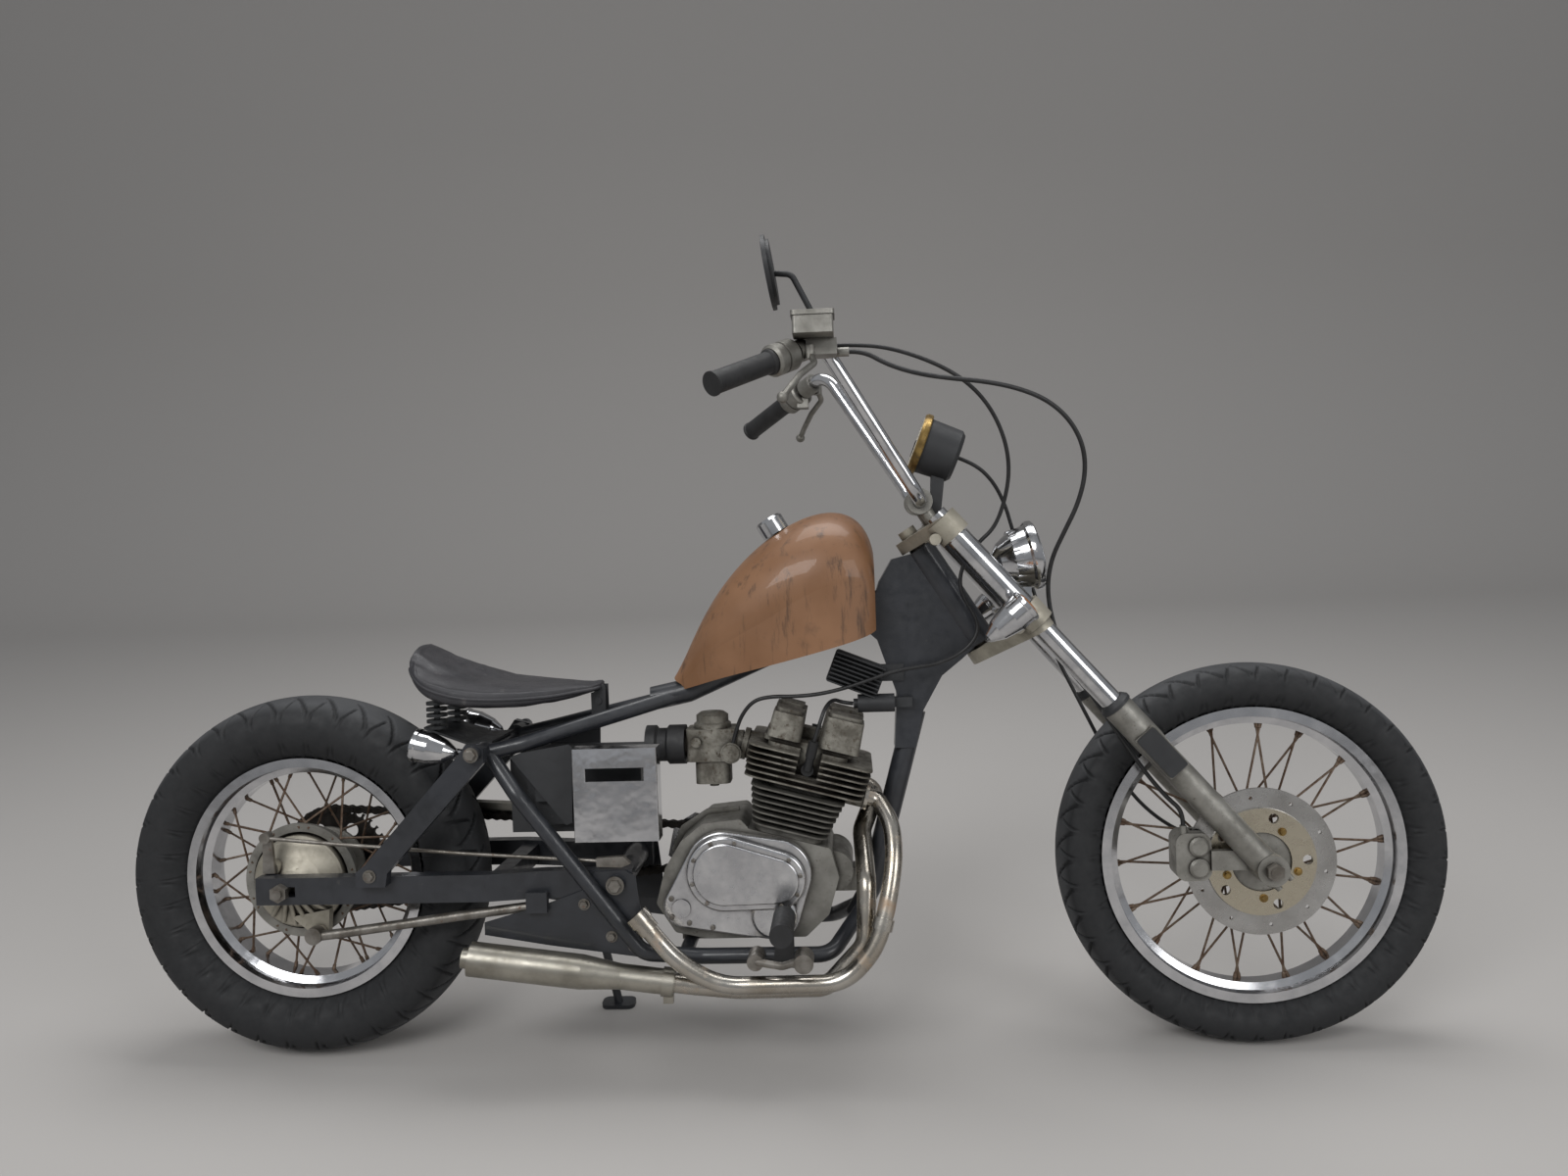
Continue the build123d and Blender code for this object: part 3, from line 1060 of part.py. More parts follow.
fork_sliders.part.label = "fork_sliders"

SEAL_HEIGHT = 12.0
with BuildPart() as fork_trim:
    for side in SIDES:
        face = FORK_HALF + 15 + SLIDER_RADIUS - 13 + FIT
        panel = Plane(origin=fork_point(REFLECTOR_AT, side * face), z_dir=(0, side, 0),
                      x_dir=fork_point(0, 0, 1) - fork_point(0))
        with BuildSketch(panel) as lens:
            RectangleRounded(*REFLECTOR_SIZE, 3)
        extrude(lens.sketch, amount=3)
        turned(((0, STANCHION_RADIUS + FIT), (0, SLIDER_RADIUS + 2), (5, SLIDER_RADIUS + 2),
                (SEAL_HEIGHT, STANCHION_RADIUS + 3), (SEAL_HEIGHT, STANCHION_RADIUS + FIT)),
               fork_point(SLIDER_TOP + FIT, side * FORK_HALF), fork_point(1) - fork_point(0))
fork_trim.part.label = "fork_trim"

# The speedometer's drive beside the hub
DRIVE_FACE = 63.5
DRIVE_RADIUS = 26.0
with BuildPart() as front_axle:
    rod((WHEELBASE, -FORK_HALF - 34, FRONT_RADIUS), (WHEELBASE, FORK_HALF + 34, FRONT_RADIUS), AXLE_RADIUS)
    for side in SIDES:
        start = Plane(origin=(WHEELBASE, side * (FORK_HALF + SLIDER_RADIUS), FRONT_RADIUS),
                      z_dir=(0, side, 0))
        with BuildSketch(start):
            RegularPolygon(14, 6)
        extrude(amount=9)
    rod((WHEELBASE, DRIVE_FACE, FRONT_RADIUS), (WHEELBASE, DRIVE_FACE + 9, FRONT_RADIUS), DRIVE_RADIUS)
front_axle.part.label = "front_axle"

BAR_RADIUS = 11.1
BAR_PATH = ((1055, 0, 905), (1055, 80, 905), (906, 150, 1147), (757, 312, 1068))
with BuildPart() as handlebar:
    right = [mirrored(point, -1) for point in reversed(BAR_PATH[1:])]
    bent_tube(right + [Vector(*point) for point in BAR_PATH[1:]], 38, BAR_RADIUS, BAR_RADIUS - 2)
handlebar.part.label = "handlebar"

with BuildPart() as bar_clamps:
    for side in SIDES:
        rod((1055, side * 22, 905), (1055, side * 48, 905), 21)
        rod(head_point(HEAD_HALF + 25 + FIT, side * 35, 42), head_point(HEAD_HALF + 50, side * 35, 42), 11)
        rod((1055, side * 22, 905), (1055, side * 48, 905), BAR_RADIUS + FIT, mode=Mode.SUBTRACT)
bar_clamps.part.label = "bar_clamps"


def bar_point(back, side):
    """A point on the grip's line, measured back from the upper bend."""
    bend = Vector(*BAR_PATH[2])
    tip = Vector(*BAR_PATH[3])
    return mirrored(bend + (tip - bend).normalized() * back, side)


GRIP_LENGTH = (Vector(*BAR_PATH[3]) - Vector(*BAR_PATH[2])).length
HOUSING = GRIP_LENGTH - 118.5
PERCH = GRIP_LENGTH - 186
with BuildPart() as grips:
    for side in SIDES:
        start = bar_point(GRIP_LENGTH - 118, side)
        along = bar_point(1, side) - bar_point(0, side)
        turned(((0, 0), (0, 19), (4, 19), (6, 16.5), (116, 16.5), (118, 18), (121, 18), (121, 0)),
               start, along)
        rod(start, bar_point(GRIP_LENGTH + FIT, side), BAR_RADIUS + FIT, mode=Mode.SUBTRACT)
grips.part.label = "grips"

LEVER_BLADE = ((889, 193, 1125), (897, 207, 1108), (876, 238, 1087), (861, 266, 1064), (852, 288, 1048))
RESERVOIR_LOW = (866, -244, 1146)
RESERVOIR_HIGH = (926, -190, 1172)
BANJO = Vector(948, -172, 1128)
with BuildPart() as hand_controls:
    for side in SIDES:
        along = bar_point(1, side) - bar_point(0, side)
        turned(((0, 0), (0, 21), (3, 24), (24, 24), (25, 22), (27, 22), (28, 24), (42, 24), (46, 20), (46, 0)),
               bar_point(HOUSING - 46.5, side), along)
        rod(bar_point(PERCH - 14, side), bar_point(PERCH + 14, side), 17)
        blade = [mirrored(point, side) for point in LEVER_BLADE]
        bent_tube(blade, 12, 5)
        rod(blade[0] + Vector(0, 0, -9), blade[0] + Vector(0, 0, 11), 9)
        rod(bar_point(PERCH + 4, side), blade[0], 8)
        with Locations(blade[-1]):
            Sphere(8.5)
    block((884, -197, 1122), (930, -156, 1146))
    block(RESERVOIR_LOW, RESERVOIR_HIGH)
    fillet(hand_controls.edges().filter_by(Axis.Z).group_by(Axis.Z)[-1], radius=5)
    low_x, low_y, _ = RESERVOIR_LOW
    high_x, high_y, lid_z = RESERVOIR_HIGH
    with BuildSketch(Plane.XY.offset(lid_z)) as lid:
        with Locations(((low_x + high_x) / 2, (low_y + high_y) / 2)):
            RectangleRounded(high_x - low_x + 4, high_y - low_y + 4, 6)
    extrude(lid.sketch, amount=7)
    rod((928, BANJO.Y, BANJO.Z), BANJO - Vector(FIT, 0, 0), 7)
    block((852, 190, 1094), (872, 226, 1112))
    for side in SIDES:
        rod(bar_point(GRIP_LENGTH - 206, side), bar_point(GRIP_LENGTH - 112, side),
            BAR_RADIUS + FIT, mode=Mode.SUBTRACT)
    add(handlebar.part, mode=Mode.SUBTRACT)
hand_controls.part.label = "hand_controls"

MIRROR_CENTRE = (829, -190, 1246)
MIRROR_FACING = Vector(0.99, 0, 0.14)
with BuildPart() as mirror:
    foot = Vector(915, -172, 1146.3)
    bent_tube((foot, (866, -194, 1242), (838, -190, 1246)), 14, 4.5)
    glass = Plane(origin=MIRROR_CENTRE, x_dir=(0, 1, 0), z_dir=MIRROR_FACING)
    for start, shrink, depth in ((0, 0, 6), (6, 7, 5)):
        with BuildSketch(glass.offset(start)) as shell:
            Ellipse(72 - shrink, 54 - shrink)
        extrude(shell.sketch, amount=depth)
    add(hand_controls.part, mode=Mode.SUBTRACT)
mirror.part.label = "mirror"

with BuildPart() as speedometer:
    turned(((0, 0), (0, 44), (2, 50), (12, 50), (14, 46), (66, 44), (72, 38), (72, 0)),
           (1055, 0, 1003), (0.929, 0, -0.37))
    side_plate(((1074, 871.3), (1091, 881.9), (1099, 946), (1078, 954)), -14, 14)
speedometer.part.label = "speedometer"

with BuildPart() as headlight:
    turned(((0, 0), (0, 50), (4, 56), (12, 56), (16, 52), (40, 46), (62, 32), (74, 14), (76, 0)),
           (1247, 0, 812), (-0.981, 0, -0.192))
    base = head_point(-HEAD_HALF - 5 + FIT, 0, 74)
    front = head_point(-HEAD_HALF - 5 + FIT, 0, 98)
    side_plate(((base.X, base.Z), (front.X, front.Z), (front.X, 768), (base.X, 768)), -10, 10)
headlight.part.label = "headlight"

with BuildPart() as front_signals:
    for side in SIDES:
        bullet_lamp((1206, side * 156, 738), (-0.77, 0, -0.64), 25, 84)
        rod((1212, side * 116, 714), (1180, side * 150, 716), 7)
    add(lower_yoke.part, mode=Mode.SUBTRACT)
front_signals.part.label = "front_signals"

CALIPER = (WHEELBASE - 112.0, FRONT_RADIUS + 15.0)
PISTON_STEP = 17.0
with BuildPart() as brake_caliper:
    x, z = CALIPER
    with BuildSketch(Plane(origin=(0, DISC_Y - 26, 0), x_dir=(1, 0, 0), z_dir=(0, -1, 0))) as body:
        with Locations((x + 0.5, z)):
            RectangleRounded(55, 76, 16)
    extrude(body.sketch, amount=-42)
    for step in (-PISTON_STEP, PISTON_STEP):
        turned(((0, 0), (0, 15.6), (5, 15.6), (8, 12), (8, 0)), (x + 8, DISC_Y - 25, z + step),
               (0, -1, 0))
    rod((x - 14, DISC_Y - 20, z + 28), (x - 14, DISC_Y - 20, z + 50), 5.5)
    block((x + 26, DISC_Y - 31.3, z - 20), (x + 79, DISC_Y - 18, z + 11))
    rod(fork_point(-40, -FORK_HALF), fork_point(160, -FORK_HALF), SLIDER_RADIUS - 2 + FIT,
        mode=Mode.SUBTRACT)
    rod((WHEELBASE, DISC_Y - 7, FRONT_RADIUS), (WHEELBASE, DISC_Y + 7, FRONT_RADIUS),
        DISC_RADIUS + 5, mode=Mode.SUBTRACT)
brake_caliper.part.label = "brake_caliper"


# Hoses and cables

HOSE_RADIUS = 3.6
CABLE_RADIUS = 3.2
BRAKE_HOSE = (BANJO, (970, -172, 1128), (1004, -176, 1106), (1050, -176, 1090), (1100, -170, 1082),
              (1150, -161, 1077), (1200, -149, 1067), (1246, -138, 1049), (1282, -127, 1019),
              (1304, -117, 979), (1308, -108, 935), (1297, -98, 889), (1277, -84, 846),
              (1260, -66, 806), (1254, -54, 762), (1259, -50, 716), (1273, -50, 668),
              (1296, -50, 622), (1324, -51, 578), (1352, -55, 534), (1380, -58, 490),
              (1406, -64, 450), (1432, -72, 418), (1452, -80, 400), (1452, -80, 377.3))
with BuildPart() as brake_hose:
    cable(BRAKE_HOSE, HOSE_RADIUS)
brake_hose.part.label = "brake_hose"

# The throttle cable crosses the steering beside the head tube, where it runs along the axis
CROSSING = -30.0
THROTTLE_LOOP = ((930.3, -161, 1140), (954, -161, 1140), (1000, -158, 1136), (1048, -151, 1122),
                 (1094, -143, 1102), (1134, -131, 1076), (1166, -114, 1040), (1188, -96, 994),
                 (1196, -78, 948), (1190, -62, 902), (1174, -50, 858), head_point(48, -44, 84),
                 head_point(36, -42, 50), head_point(14, -42, 24), head_point(CROSSING + 16, -42, 14),
                 head_point(CROSSING, -42, 14))
THROTTLE_RUN = (head_point(CROSSING - FIT, -42, 14), head_point(CROSSING - 16, -42, 14),
                head_point(-69, -42, 7), head_point(-83, -43, -15), head_point(-86, -45, -47),
                (1074, -49, 640), (1038, -53, 636), (1000, -57, 630), (962, -62, 618),
                (922, -65, 606), (882, -66, 598), (842, -63, 595), (806, -60, 596),
                (776, -56, 590), (756, -52, 568), (745, -48, 543), (738, -45, 519.3))
with BuildPart() as throttle_loop:
    cable(THROTTLE_LOOP, CABLE_RADIUS)
throttle_loop.part.label = "throttle_loop"

with BuildPart() as throttle_cable:
    cable(THROTTLE_RUN, CABLE_RADIUS)
throttle_cable.part.label = "throttle_cable"

SPEEDOMETER_CABLE = ((1122.2, 0, 976.2), (1150, 0, 965.1), (1180, 14, 938), (1202, 34, 900),
                     (1216, 50, 856), (1230, 58, 808), (1247, 58, 762), (1259, 56, 716),
                     (1273, 56, 668), (1294, 57, 618), (1318, 57, 568), (1342, 58, 518),
                     (1366, 60, 468), (1392, 62, 420), (1424, 64, 378), (1464, 66, 344),
                     (1506, 67, 322), (1551.2, 68, 312))
with BuildPart() as speedometer_cable:
    cable(SPEEDOMETER_CABLE, CABLE_RADIUS)
speedometer_cable.part.label = "speedometer_cable"

PIECES = (
    rear_tyre, front_tyre, rear_rim, front_rim, rear_hub, front_hub, rear_spokes, front_spokes,
    brake_disc, rear_sprocket, brake_plate, brake_linkage, rear_axle, chain, chain_guard,
    swingarm, rear_struts, frame_main, engine_cases, crankcase_covers, cylinder_block,
    cylinder_head, valve_cover, carburettor, header_pipes, muffler, tank, tank_cap, saddle,
    saddle_mount, side_covers, polished_cover, battery_box, electrics, rear_signals, footpegs,
    foot_controls, side_stand, lower_yoke, top_yoke, fork_stanchions, fork_sliders, front_axle,
    handlebar, bar_clamps, grips, hand_controls, mirror, speedometer, headlight, front_signals,
    brake_caliper, spark_plugs, plug_lead, intake_boot, fork_trim, brake_hose,
    throttle_loop, throttle_cable, speedometer_cable,
)

os.makedirs("parts", exist_ok=True)
for piece in PIECES:
    name = piece.part.label
    stood = piece.part.rotate(Axis.X, -LEAN)
    stood = stood.translate((-GROUND_CENTRE[0], -GROUND_CENTRE[1], GROUND_LIFT))
    piece.part = stood
    piece.part.label = name
    export_step(piece.part, f"parts/{name}.step")
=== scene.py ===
"""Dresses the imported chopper: materials, saddle, tyre tread, chain links, fasteners and hoses.

Places are given in the machine's own upright millimetres, X forward from the rear axle, Y to the
left and Z up from the ground, as the model was drawn. bike() leans them into the row frame.
"""

import math

import bmesh
import bpy
import numpy as np
from mathutils import Matrix, Vector, noise


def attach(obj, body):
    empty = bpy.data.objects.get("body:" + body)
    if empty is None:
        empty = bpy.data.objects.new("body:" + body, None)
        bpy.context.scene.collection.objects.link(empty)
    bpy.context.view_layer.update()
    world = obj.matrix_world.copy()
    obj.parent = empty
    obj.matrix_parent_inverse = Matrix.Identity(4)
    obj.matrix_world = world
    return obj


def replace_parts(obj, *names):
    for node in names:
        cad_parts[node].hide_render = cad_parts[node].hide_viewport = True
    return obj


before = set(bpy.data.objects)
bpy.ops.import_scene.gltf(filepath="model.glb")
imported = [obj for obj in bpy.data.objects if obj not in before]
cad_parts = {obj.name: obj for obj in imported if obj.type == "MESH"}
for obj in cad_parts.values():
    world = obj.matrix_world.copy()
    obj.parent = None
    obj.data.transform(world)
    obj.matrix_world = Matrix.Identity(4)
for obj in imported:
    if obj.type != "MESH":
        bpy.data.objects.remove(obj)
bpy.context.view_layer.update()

# How the upright machine stands in the row frame
LEAN = math.radians(7.0)
CENTRE_X = 792.5
CENTRE_Y = 130.7
LIFT = 0.72
TURN = Matrix.Rotation(-LEAN, 3, "X")
ACROSS = Vector((0, 1, 0))
OUT_RIGHT = (0, -1, 0)
OUT_LEFT = (0, 1, 0)

# Sizes of the model, in upright millimetres
REAR_RADIUS = 305.0
FRONT_RADIUS = 312.0
REAR_AXLE = (0.0, 0.0, REAR_RADIUS)
FRONT_AXLE = (1578.0, 0.0, FRONT_RADIUS)
REAR_RIM_RADIUS = 204.5
FRONT_RIM_RADIUS = 242.5
DISC_CARRIER_RADIUS = 86.0
CHAIN_Y = 81.0
CHAIN_PITCH = 15.875
REAR_TEETH = 36
DRIVE_TEETH = 14
DRIVE_SPROCKET = (652.0, 318.0)

# Edges sharper than this stay hard
HARD_EDGE = 32


def bike(x, y, z):
    """A point in upright millimetres, as metres in the row frame."""
    return (TURN @ Vector((x, y, z)) + Vector((-CENTRE_X, -CENTRE_Y, LIFT))) / 1000


def lean(direction):
    """A direction on the upright machine, turned into the row frame."""
    return (TURN @ Vector(direction)).normalized()


def srgb(red, green, blue):
    """A display colour from 0 to 255 as a linear colour with alpha."""
    values = []
    for value in (red, green, blue):
        share = value / 255
        values.append(share / 12.92 if share <= 0.04045 else ((share + 0.055) / 1.055) ** 2.4)
    return (*values, 1.0)


# Materials

def node(tree, kind, **inputs):
    """Adds a shader node. Inputs are socket names with spaces as underscores."""
    made = tree.nodes.new(kind)
    for name, value in inputs.items():
        made.inputs[name.replace("_", " ")].default_value = value
    return made


def noise_at(tree, coords, scale, detail=4.0, rough=0.55, stretch=(1, 1, 1)):
    """A noise texture in metres of the row frame, optionally stretched."""
    mapping = tree.nodes.new("ShaderNodeMapping")
    mapping.inputs["Scale"].default_value = stretch
    tree.links.new(coords.outputs["Object"], mapping.inputs["Vector"])
    made = node(tree, "ShaderNodeTexNoise", Scale=scale, Detail=detail, Roughness=rough)
    tree.links.new(mapping.outputs["Vector"], made.inputs["Vector"])
    return made.outputs["Fac"]


def ramp(tree, factor, low, high):
    """Maps a factor so that low gives 0 and high gives 1."""
    made = node(tree, "ShaderNodeMapRange", From_Min=low, From_Max=high)
    tree.links.new(factor, made.inputs["Value"])
    return made.outputs["Result"]


def mix(tree, factor, first, second):
    """Mixes two colours, or sockets that carry them."""
    made = tree.nodes.new("ShaderNodeMix")
    made.data_type = "RGBA"
    tree.links.new(factor, made.inputs["Factor"])
    for socket, value in ((made.inputs["A"], first), (made.inputs["B"], second)):
        if isinstance(value, bpy.types.NodeSocket):
            tree.links.new(value, socket)
        else:
            socket.default_value = value
    return made.outputs["Result"]


def material(name, base, second, metallic=0.0, rough=(0.4, 0.6), patch=9.0, stretch=(1, 1, 1),
             spots=None, streaks=None, grain=(420.0, 0.08), dents=None, coat=0.0, corner_shade=None):
    """One procedural material.

    base and second mottle at the patch scale. spots is (colour, scale, threshold, softness) and
    streaks is (colour, scale, threshold) drawn out along Z. grain and dents are (scale, height)
    bumps. The last one, (colour, reach in metres), is painted shade that darkens corners and
    recesses found by ambient occlusion.
    """
    made = bpy.data.materials.new(name)
    made.use_nodes = True
    tree = made.node_tree
    surface = tree.nodes["Principled BSDF"]
    coords = tree.nodes.new("ShaderNodeTexCoord")
    mottle = noise_at(tree, coords, patch, stretch=stretch)
    colour = mix(tree, ramp(tree, mottle, 0.36, 0.64), base, second)
    roughness = node(tree, "ShaderNodeMapRange", From_Min=0.3, From_Max=0.7, To_Min=rough[0],
                     To_Max=rough[1])
    tree.links.new(noise_at(tree, coords, patch * 4, detail=6), roughness.inputs["Value"])
    rough_out = roughness.outputs["Result"]
    metal_out = None
    if streaks:
        tint, scale, threshold = streaks
        lines = noise_at(tree, coords, scale, detail=7, rough=0.7, stretch=(1, 1, 0.12))
        colour = mix(tree, ramp(tree, lines, threshold, threshold + 0.12), colour, tint)
    if spots:
        tint, scale, threshold, softness = spots
        dots = noise_at(tree, coords, scale, detail=8, rough=0.68)
        share = ramp(tree, dots, threshold, threshold + softness)
        colour = mix(tree, share, colour, tint)
        if metallic > 0:
            fall = node(tree, "ShaderNodeMapRange", To_Min=metallic, To_Max=0.1)
            tree.links.new(share, fall.inputs["Value"])
            metal_out = fall.outputs["Result"]
            rise = node(tree, "ShaderNodeMapRange", To_Max=0.75)
            tree.links.new(share, rise.inputs["Value"])
            tree.links.new(rough_out, rise.inputs["To Min"])
            rough_out = rise.outputs["Result"]
    # Painted shade: corners and recesses found by ambient occlusion are darkened towards the given
    # colour.
    if corner_shade:
        tint, reach = corner_shade
        corner = node(tree, "ShaderNodeAmbientOcclusion", Distance=reach)
        corner.samples = 6
        share = node(tree, "ShaderNodeMapRange", From_Min=0.35, From_Max=0.85, To_Min=1.0,
                     To_Max=0.0)
        tree.links.new(corner.outputs["AO"], share.inputs["Value"])
        colour = mix(tree, share.outputs["Result"], colour, tint)
    tree.links.new(colour, surface.inputs["Base Color"])
    tree.links.new(rough_out, surface.inputs["Roughness"])
    if metal_out:
        tree.links.new(metal_out, surface.inputs["Metallic"])
    else:
        surface.inputs["Metallic"].default_value = metallic
    surface.inputs["Coat Weight"].default_value = coat
    normal = None
    for bump in (grain, dents):
        if bump:
            height = noise_at(tree, coords, bump[0], detail=3)
            lift = node(tree, "ShaderNodeBump", Strength=1.0, Distance=bump[1] / 1000)
            tree.links.new(height, lift.inputs["Height"])
            if normal:
                tree.links.new(normal, lift.inputs["Normal"])
            normal = lift.outputs["Normal"]
    if normal:
        tree.links.new(normal, surface.inputs["Normal"])
    return made


RUST = srgb(96, 60, 38)
DUST = srgb(120, 116, 110)

rubber = material("tyre_rubber", srgb(52, 53, 55), srgb(64, 65, 67), rough=(0.62, 0.85),
                  patch=14, spots=(srgb(92, 90, 86), 60, 0.62, 0.2), grain=(900, 0.12))
chrome = material("chrome_worn", srgb(205, 205, 206), srgb(178, 179, 182), 1.0, (0.07, 0.2),
                  patch=30, spots=(srgb(118, 96, 76), 190, 0.66, 0.05), grain=(300, 0.02))
rim_metal = material("rim_bright", srgb(206, 206, 208), srgb(186, 187, 190), 1.0, (0.1, 0.24),
                     patch=20, spots=(srgb(126, 110, 92), 260, 0.7, 0.05), grain=(500, 0.02))
rusty_wire = material("rusty_wire", srgb(84, 66, 52), srgb(118, 104, 90), 0.6, (0.45, 0.7),
                      patch=90, spots=(srgb(82, 52, 34), 320, 0.52, 0.1), grain=(1500, 0.08))
# cream_cast, cast, rough_cast, polished and iron take a corner colour that is painted shade.
cream_cast = material("cream_cast", srgb(178, 172, 158), srgb(148, 143, 130), 0.6, (0.4, 0.6),
                      patch=24, spots=(srgb(104, 96, 82), 110, 0.62, 0.12), grain=(1100, 0.22),
                      corner_shade=(srgb(52, 46, 40), 0.01))
cast = material("cast_alloy", srgb(150, 148, 142), srgb(118, 116, 110), 0.75, (0.38, 0.58),
                patch=22, spots=(srgb(88, 80, 70), 120, 0.6, 0.12), grain=(1100, 0.22),
                corner_shade=(srgb(48, 43, 38), 0.012))
rough_cast = material("rough_cast", srgb(142, 139, 130), srgb(96, 92, 84), 0.6, (0.45, 0.7),
                      patch=34, spots=(srgb(70, 60, 48), 95, 0.54, 0.12), grain=(800, 0.5),
                      dents=(90, 0.8), corner_shade=(srgb(40, 34, 28), 0.014))
polished = material("polished_alloy", srgb(206, 206, 207), srgb(182, 182, 184), 0.95,
                    (0.12, 0.3), patch=18, spots=(srgb(124, 116, 106), 85, 0.67, 0.1),
                    grain=(600, 0.04), corner_shade=(srgb(70, 62, 54), 0.008))
dented = material("dented_polish", srgb(214, 214, 216), srgb(194, 195, 198), 1.0, (0.08, 0.2),
                  patch=8, spots=(srgb(122, 116, 108), 60, 0.7, 0.08), grain=(300, 0.02),
                  dents=(14, 1.6))
frame_black = material("frame_black", srgb(30, 32, 36), srgb(40, 42, 47), 0.0, (0.3, 0.55),
                       patch=16, spots=(srgb(72, 70, 68), 60, 0.64, 0.16), grain=(500, 0.1),
                       coat=0.25)
satin_black = material("satin_black", srgb(32, 33, 35), srgb(42, 43, 45), 0.0, (0.45, 0.65),
                       patch=20, spots=(DUST, 75, 0.68, 0.2), grain=(900, 0.12))
tank_rust = material("tank_rust", srgb(118, 82, 54), srgb(138, 100, 70), 0.1, (0.4, 0.58),
                     patch=5, streaks=(srgb(84, 60, 42), 62, 0.55),
                     spots=(srgb(78, 56, 40), 16, 0.6, 0.3), grain=(700, 0.1), coat=0.2)
leather = material("worn_leather", srgb(38, 38, 42), srgb(52, 51, 54), 0.0, (0.4, 0.62),
                   patch=12, spots=(srgb(98, 95, 94), 46, 0.6, 0.22), grain=(1300, 0.25),
                   dents=(150, 0.5))
iron = material("oxidised_fins", srgb(112, 110, 104), srgb(84, 82, 77), 0.5, (0.48, 0.7),
                patch=30, spots=(srgb(62, 54, 46), 90, 0.6, 0.15), grain=(900, 0.2),
                corner_shade=(srgb(32, 28, 24), 0.009))
oily_steel = material("oily_steel", srgb(58, 55, 52), srgb(40, 37, 34), 0.8, (0.35, 0.6),
                      patch=60, spots=(srgb(96, 66, 44), 180, 0.6, 0.1), grain=(900, 0.1))
worn_steel = material("worn_steel", srgb(140, 136, 130), srgb(104, 99, 92), 0.85, (0.34, 0.58),
                      patch=40, spots=(RUST, 110, 0.6, 0.12), grain=(900, 0.12))
disc_steel = material("disc_steel", srgb(184, 183, 181), srgb(158, 156, 153), 1.0, (0.2, 0.36),
                      patch=16, spots=(srgb(124, 100, 76), 140, 0.68, 0.1), grain=(1200, 0.05))
pipe_steel = material("pipe_steel", srgb(188, 184, 176), srgb(160, 152, 140), 1.0, (0.16, 0.34),
                      patch=12, spots=(srgb(150, 112, 70), 16, 0.55, 0.2), grain=(400, 0.04))
can_steel = material("can_steel", srgb(170, 166, 156), srgb(142, 138, 128), 1.0, (0.3, 0.46),
                     patch=20, spots=(srgb(104, 94, 80), 60, 0.64, 0.15), grain=(1400, 0.1))
grip_rubber = material("grip_rubber", srgb(26, 26, 27), srgb(36, 36, 37), 0.0, (0.5, 0.7),
                       patch=40, grain=(1200, 0.15))
hose_rubber = material("hose_rubber", srgb(20, 20, 21), srgb(32, 32, 33), 0.0, (0.35, 0.55),
                       patch=40, grain=(900, 0.06))
brass = material("brass_bezel", srgb(168, 140, 84), srgb(120, 98, 60), 0.9, (0.25, 0.45),
                 patch=50, spots=(srgb(66, 58, 44), 150, 0.56, 0.12), grain=(700, 0.06))
dial_face = material("dial_face", srgb(206, 200, 184), srgb(190, 182, 164), 0.0, (0.5, 0.6),
                     patch=30, grain=(900, 0.02))
dark_hole = material("dark_plastic", srgb(16, 16, 17), srgb(22, 22, 23), 0.0, (0.5, 0.7),
                     patch=40, grain=(900, 0.05))
mirror_glass = material("mirror_glass", srgb(225, 228, 230), srgb(218, 222, 226), 1.0,
                        (0.02, 0.05), patch=10, grain=None)


def glass_material(name, tint, rough=0.05, share=0.75):
    """A clear or tinted lens."""
    made = bpy.data.materials.new(name)
    made.use_nodes = True
    surface = made.node_tree.nodes["Principled BSDF"]
    surface.inputs["Base Color"].default_value = tint
    surface.inputs["Roughness"].default_value = rough
    surface.inputs["Transmission Weight"].default_value = share
    surface.inputs["IOR"].default_value = 1.45
    return made


def inside_radius(made, point, direction, limit, colour):
    """Recolours what lies within a distance of an axis."""
    tree = made.node_tree
    surface = tree.nodes["Principled BSDF"]
    coords = tree.nodes.new("ShaderNodeTexCoord")
    away = tree.nodes.new("ShaderNodeVectorMath")
    away.operation = "SUBTRACT"
    away.inputs[1].default_value = bike(*point)
    tree.links.new(coords.outputs["Object"], away.inputs[0])
    turned = tree.nodes.new("ShaderNodeVectorMath")
    turned.operation = "CROSS_PRODUCT"
    turned.inputs[1].default_value = lean(direction)
    tree.links.new(away.outputs["Vector"], turned.inputs[0])
    reach = tree.nodes.new("ShaderNodeVectorMath")
    reach.operation = "LENGTH"
    tree.links.new(turned.outputs["Vector"], reach.inputs[0])
    share = ramp(tree, reach.outputs["Value"], limit / 1000 - 0.001, limit / 1000 + 0.001)
    before = surface.inputs["Base Color"].links[0].from_socket
    tree.links.new(mix(tree, share, colour, before), surface.inputs["Base Color"])


inside_radius(disc_steel, FRONT_AXLE, ACROSS, DISC_CARRIER_RADIUS, srgb(186, 178, 160))
lens_clear = glass_material("lens_clear", srgb(240, 242, 245))
lens_amber = glass_material("lens_amber", srgb(214, 132, 46), 0.12, 0.5)

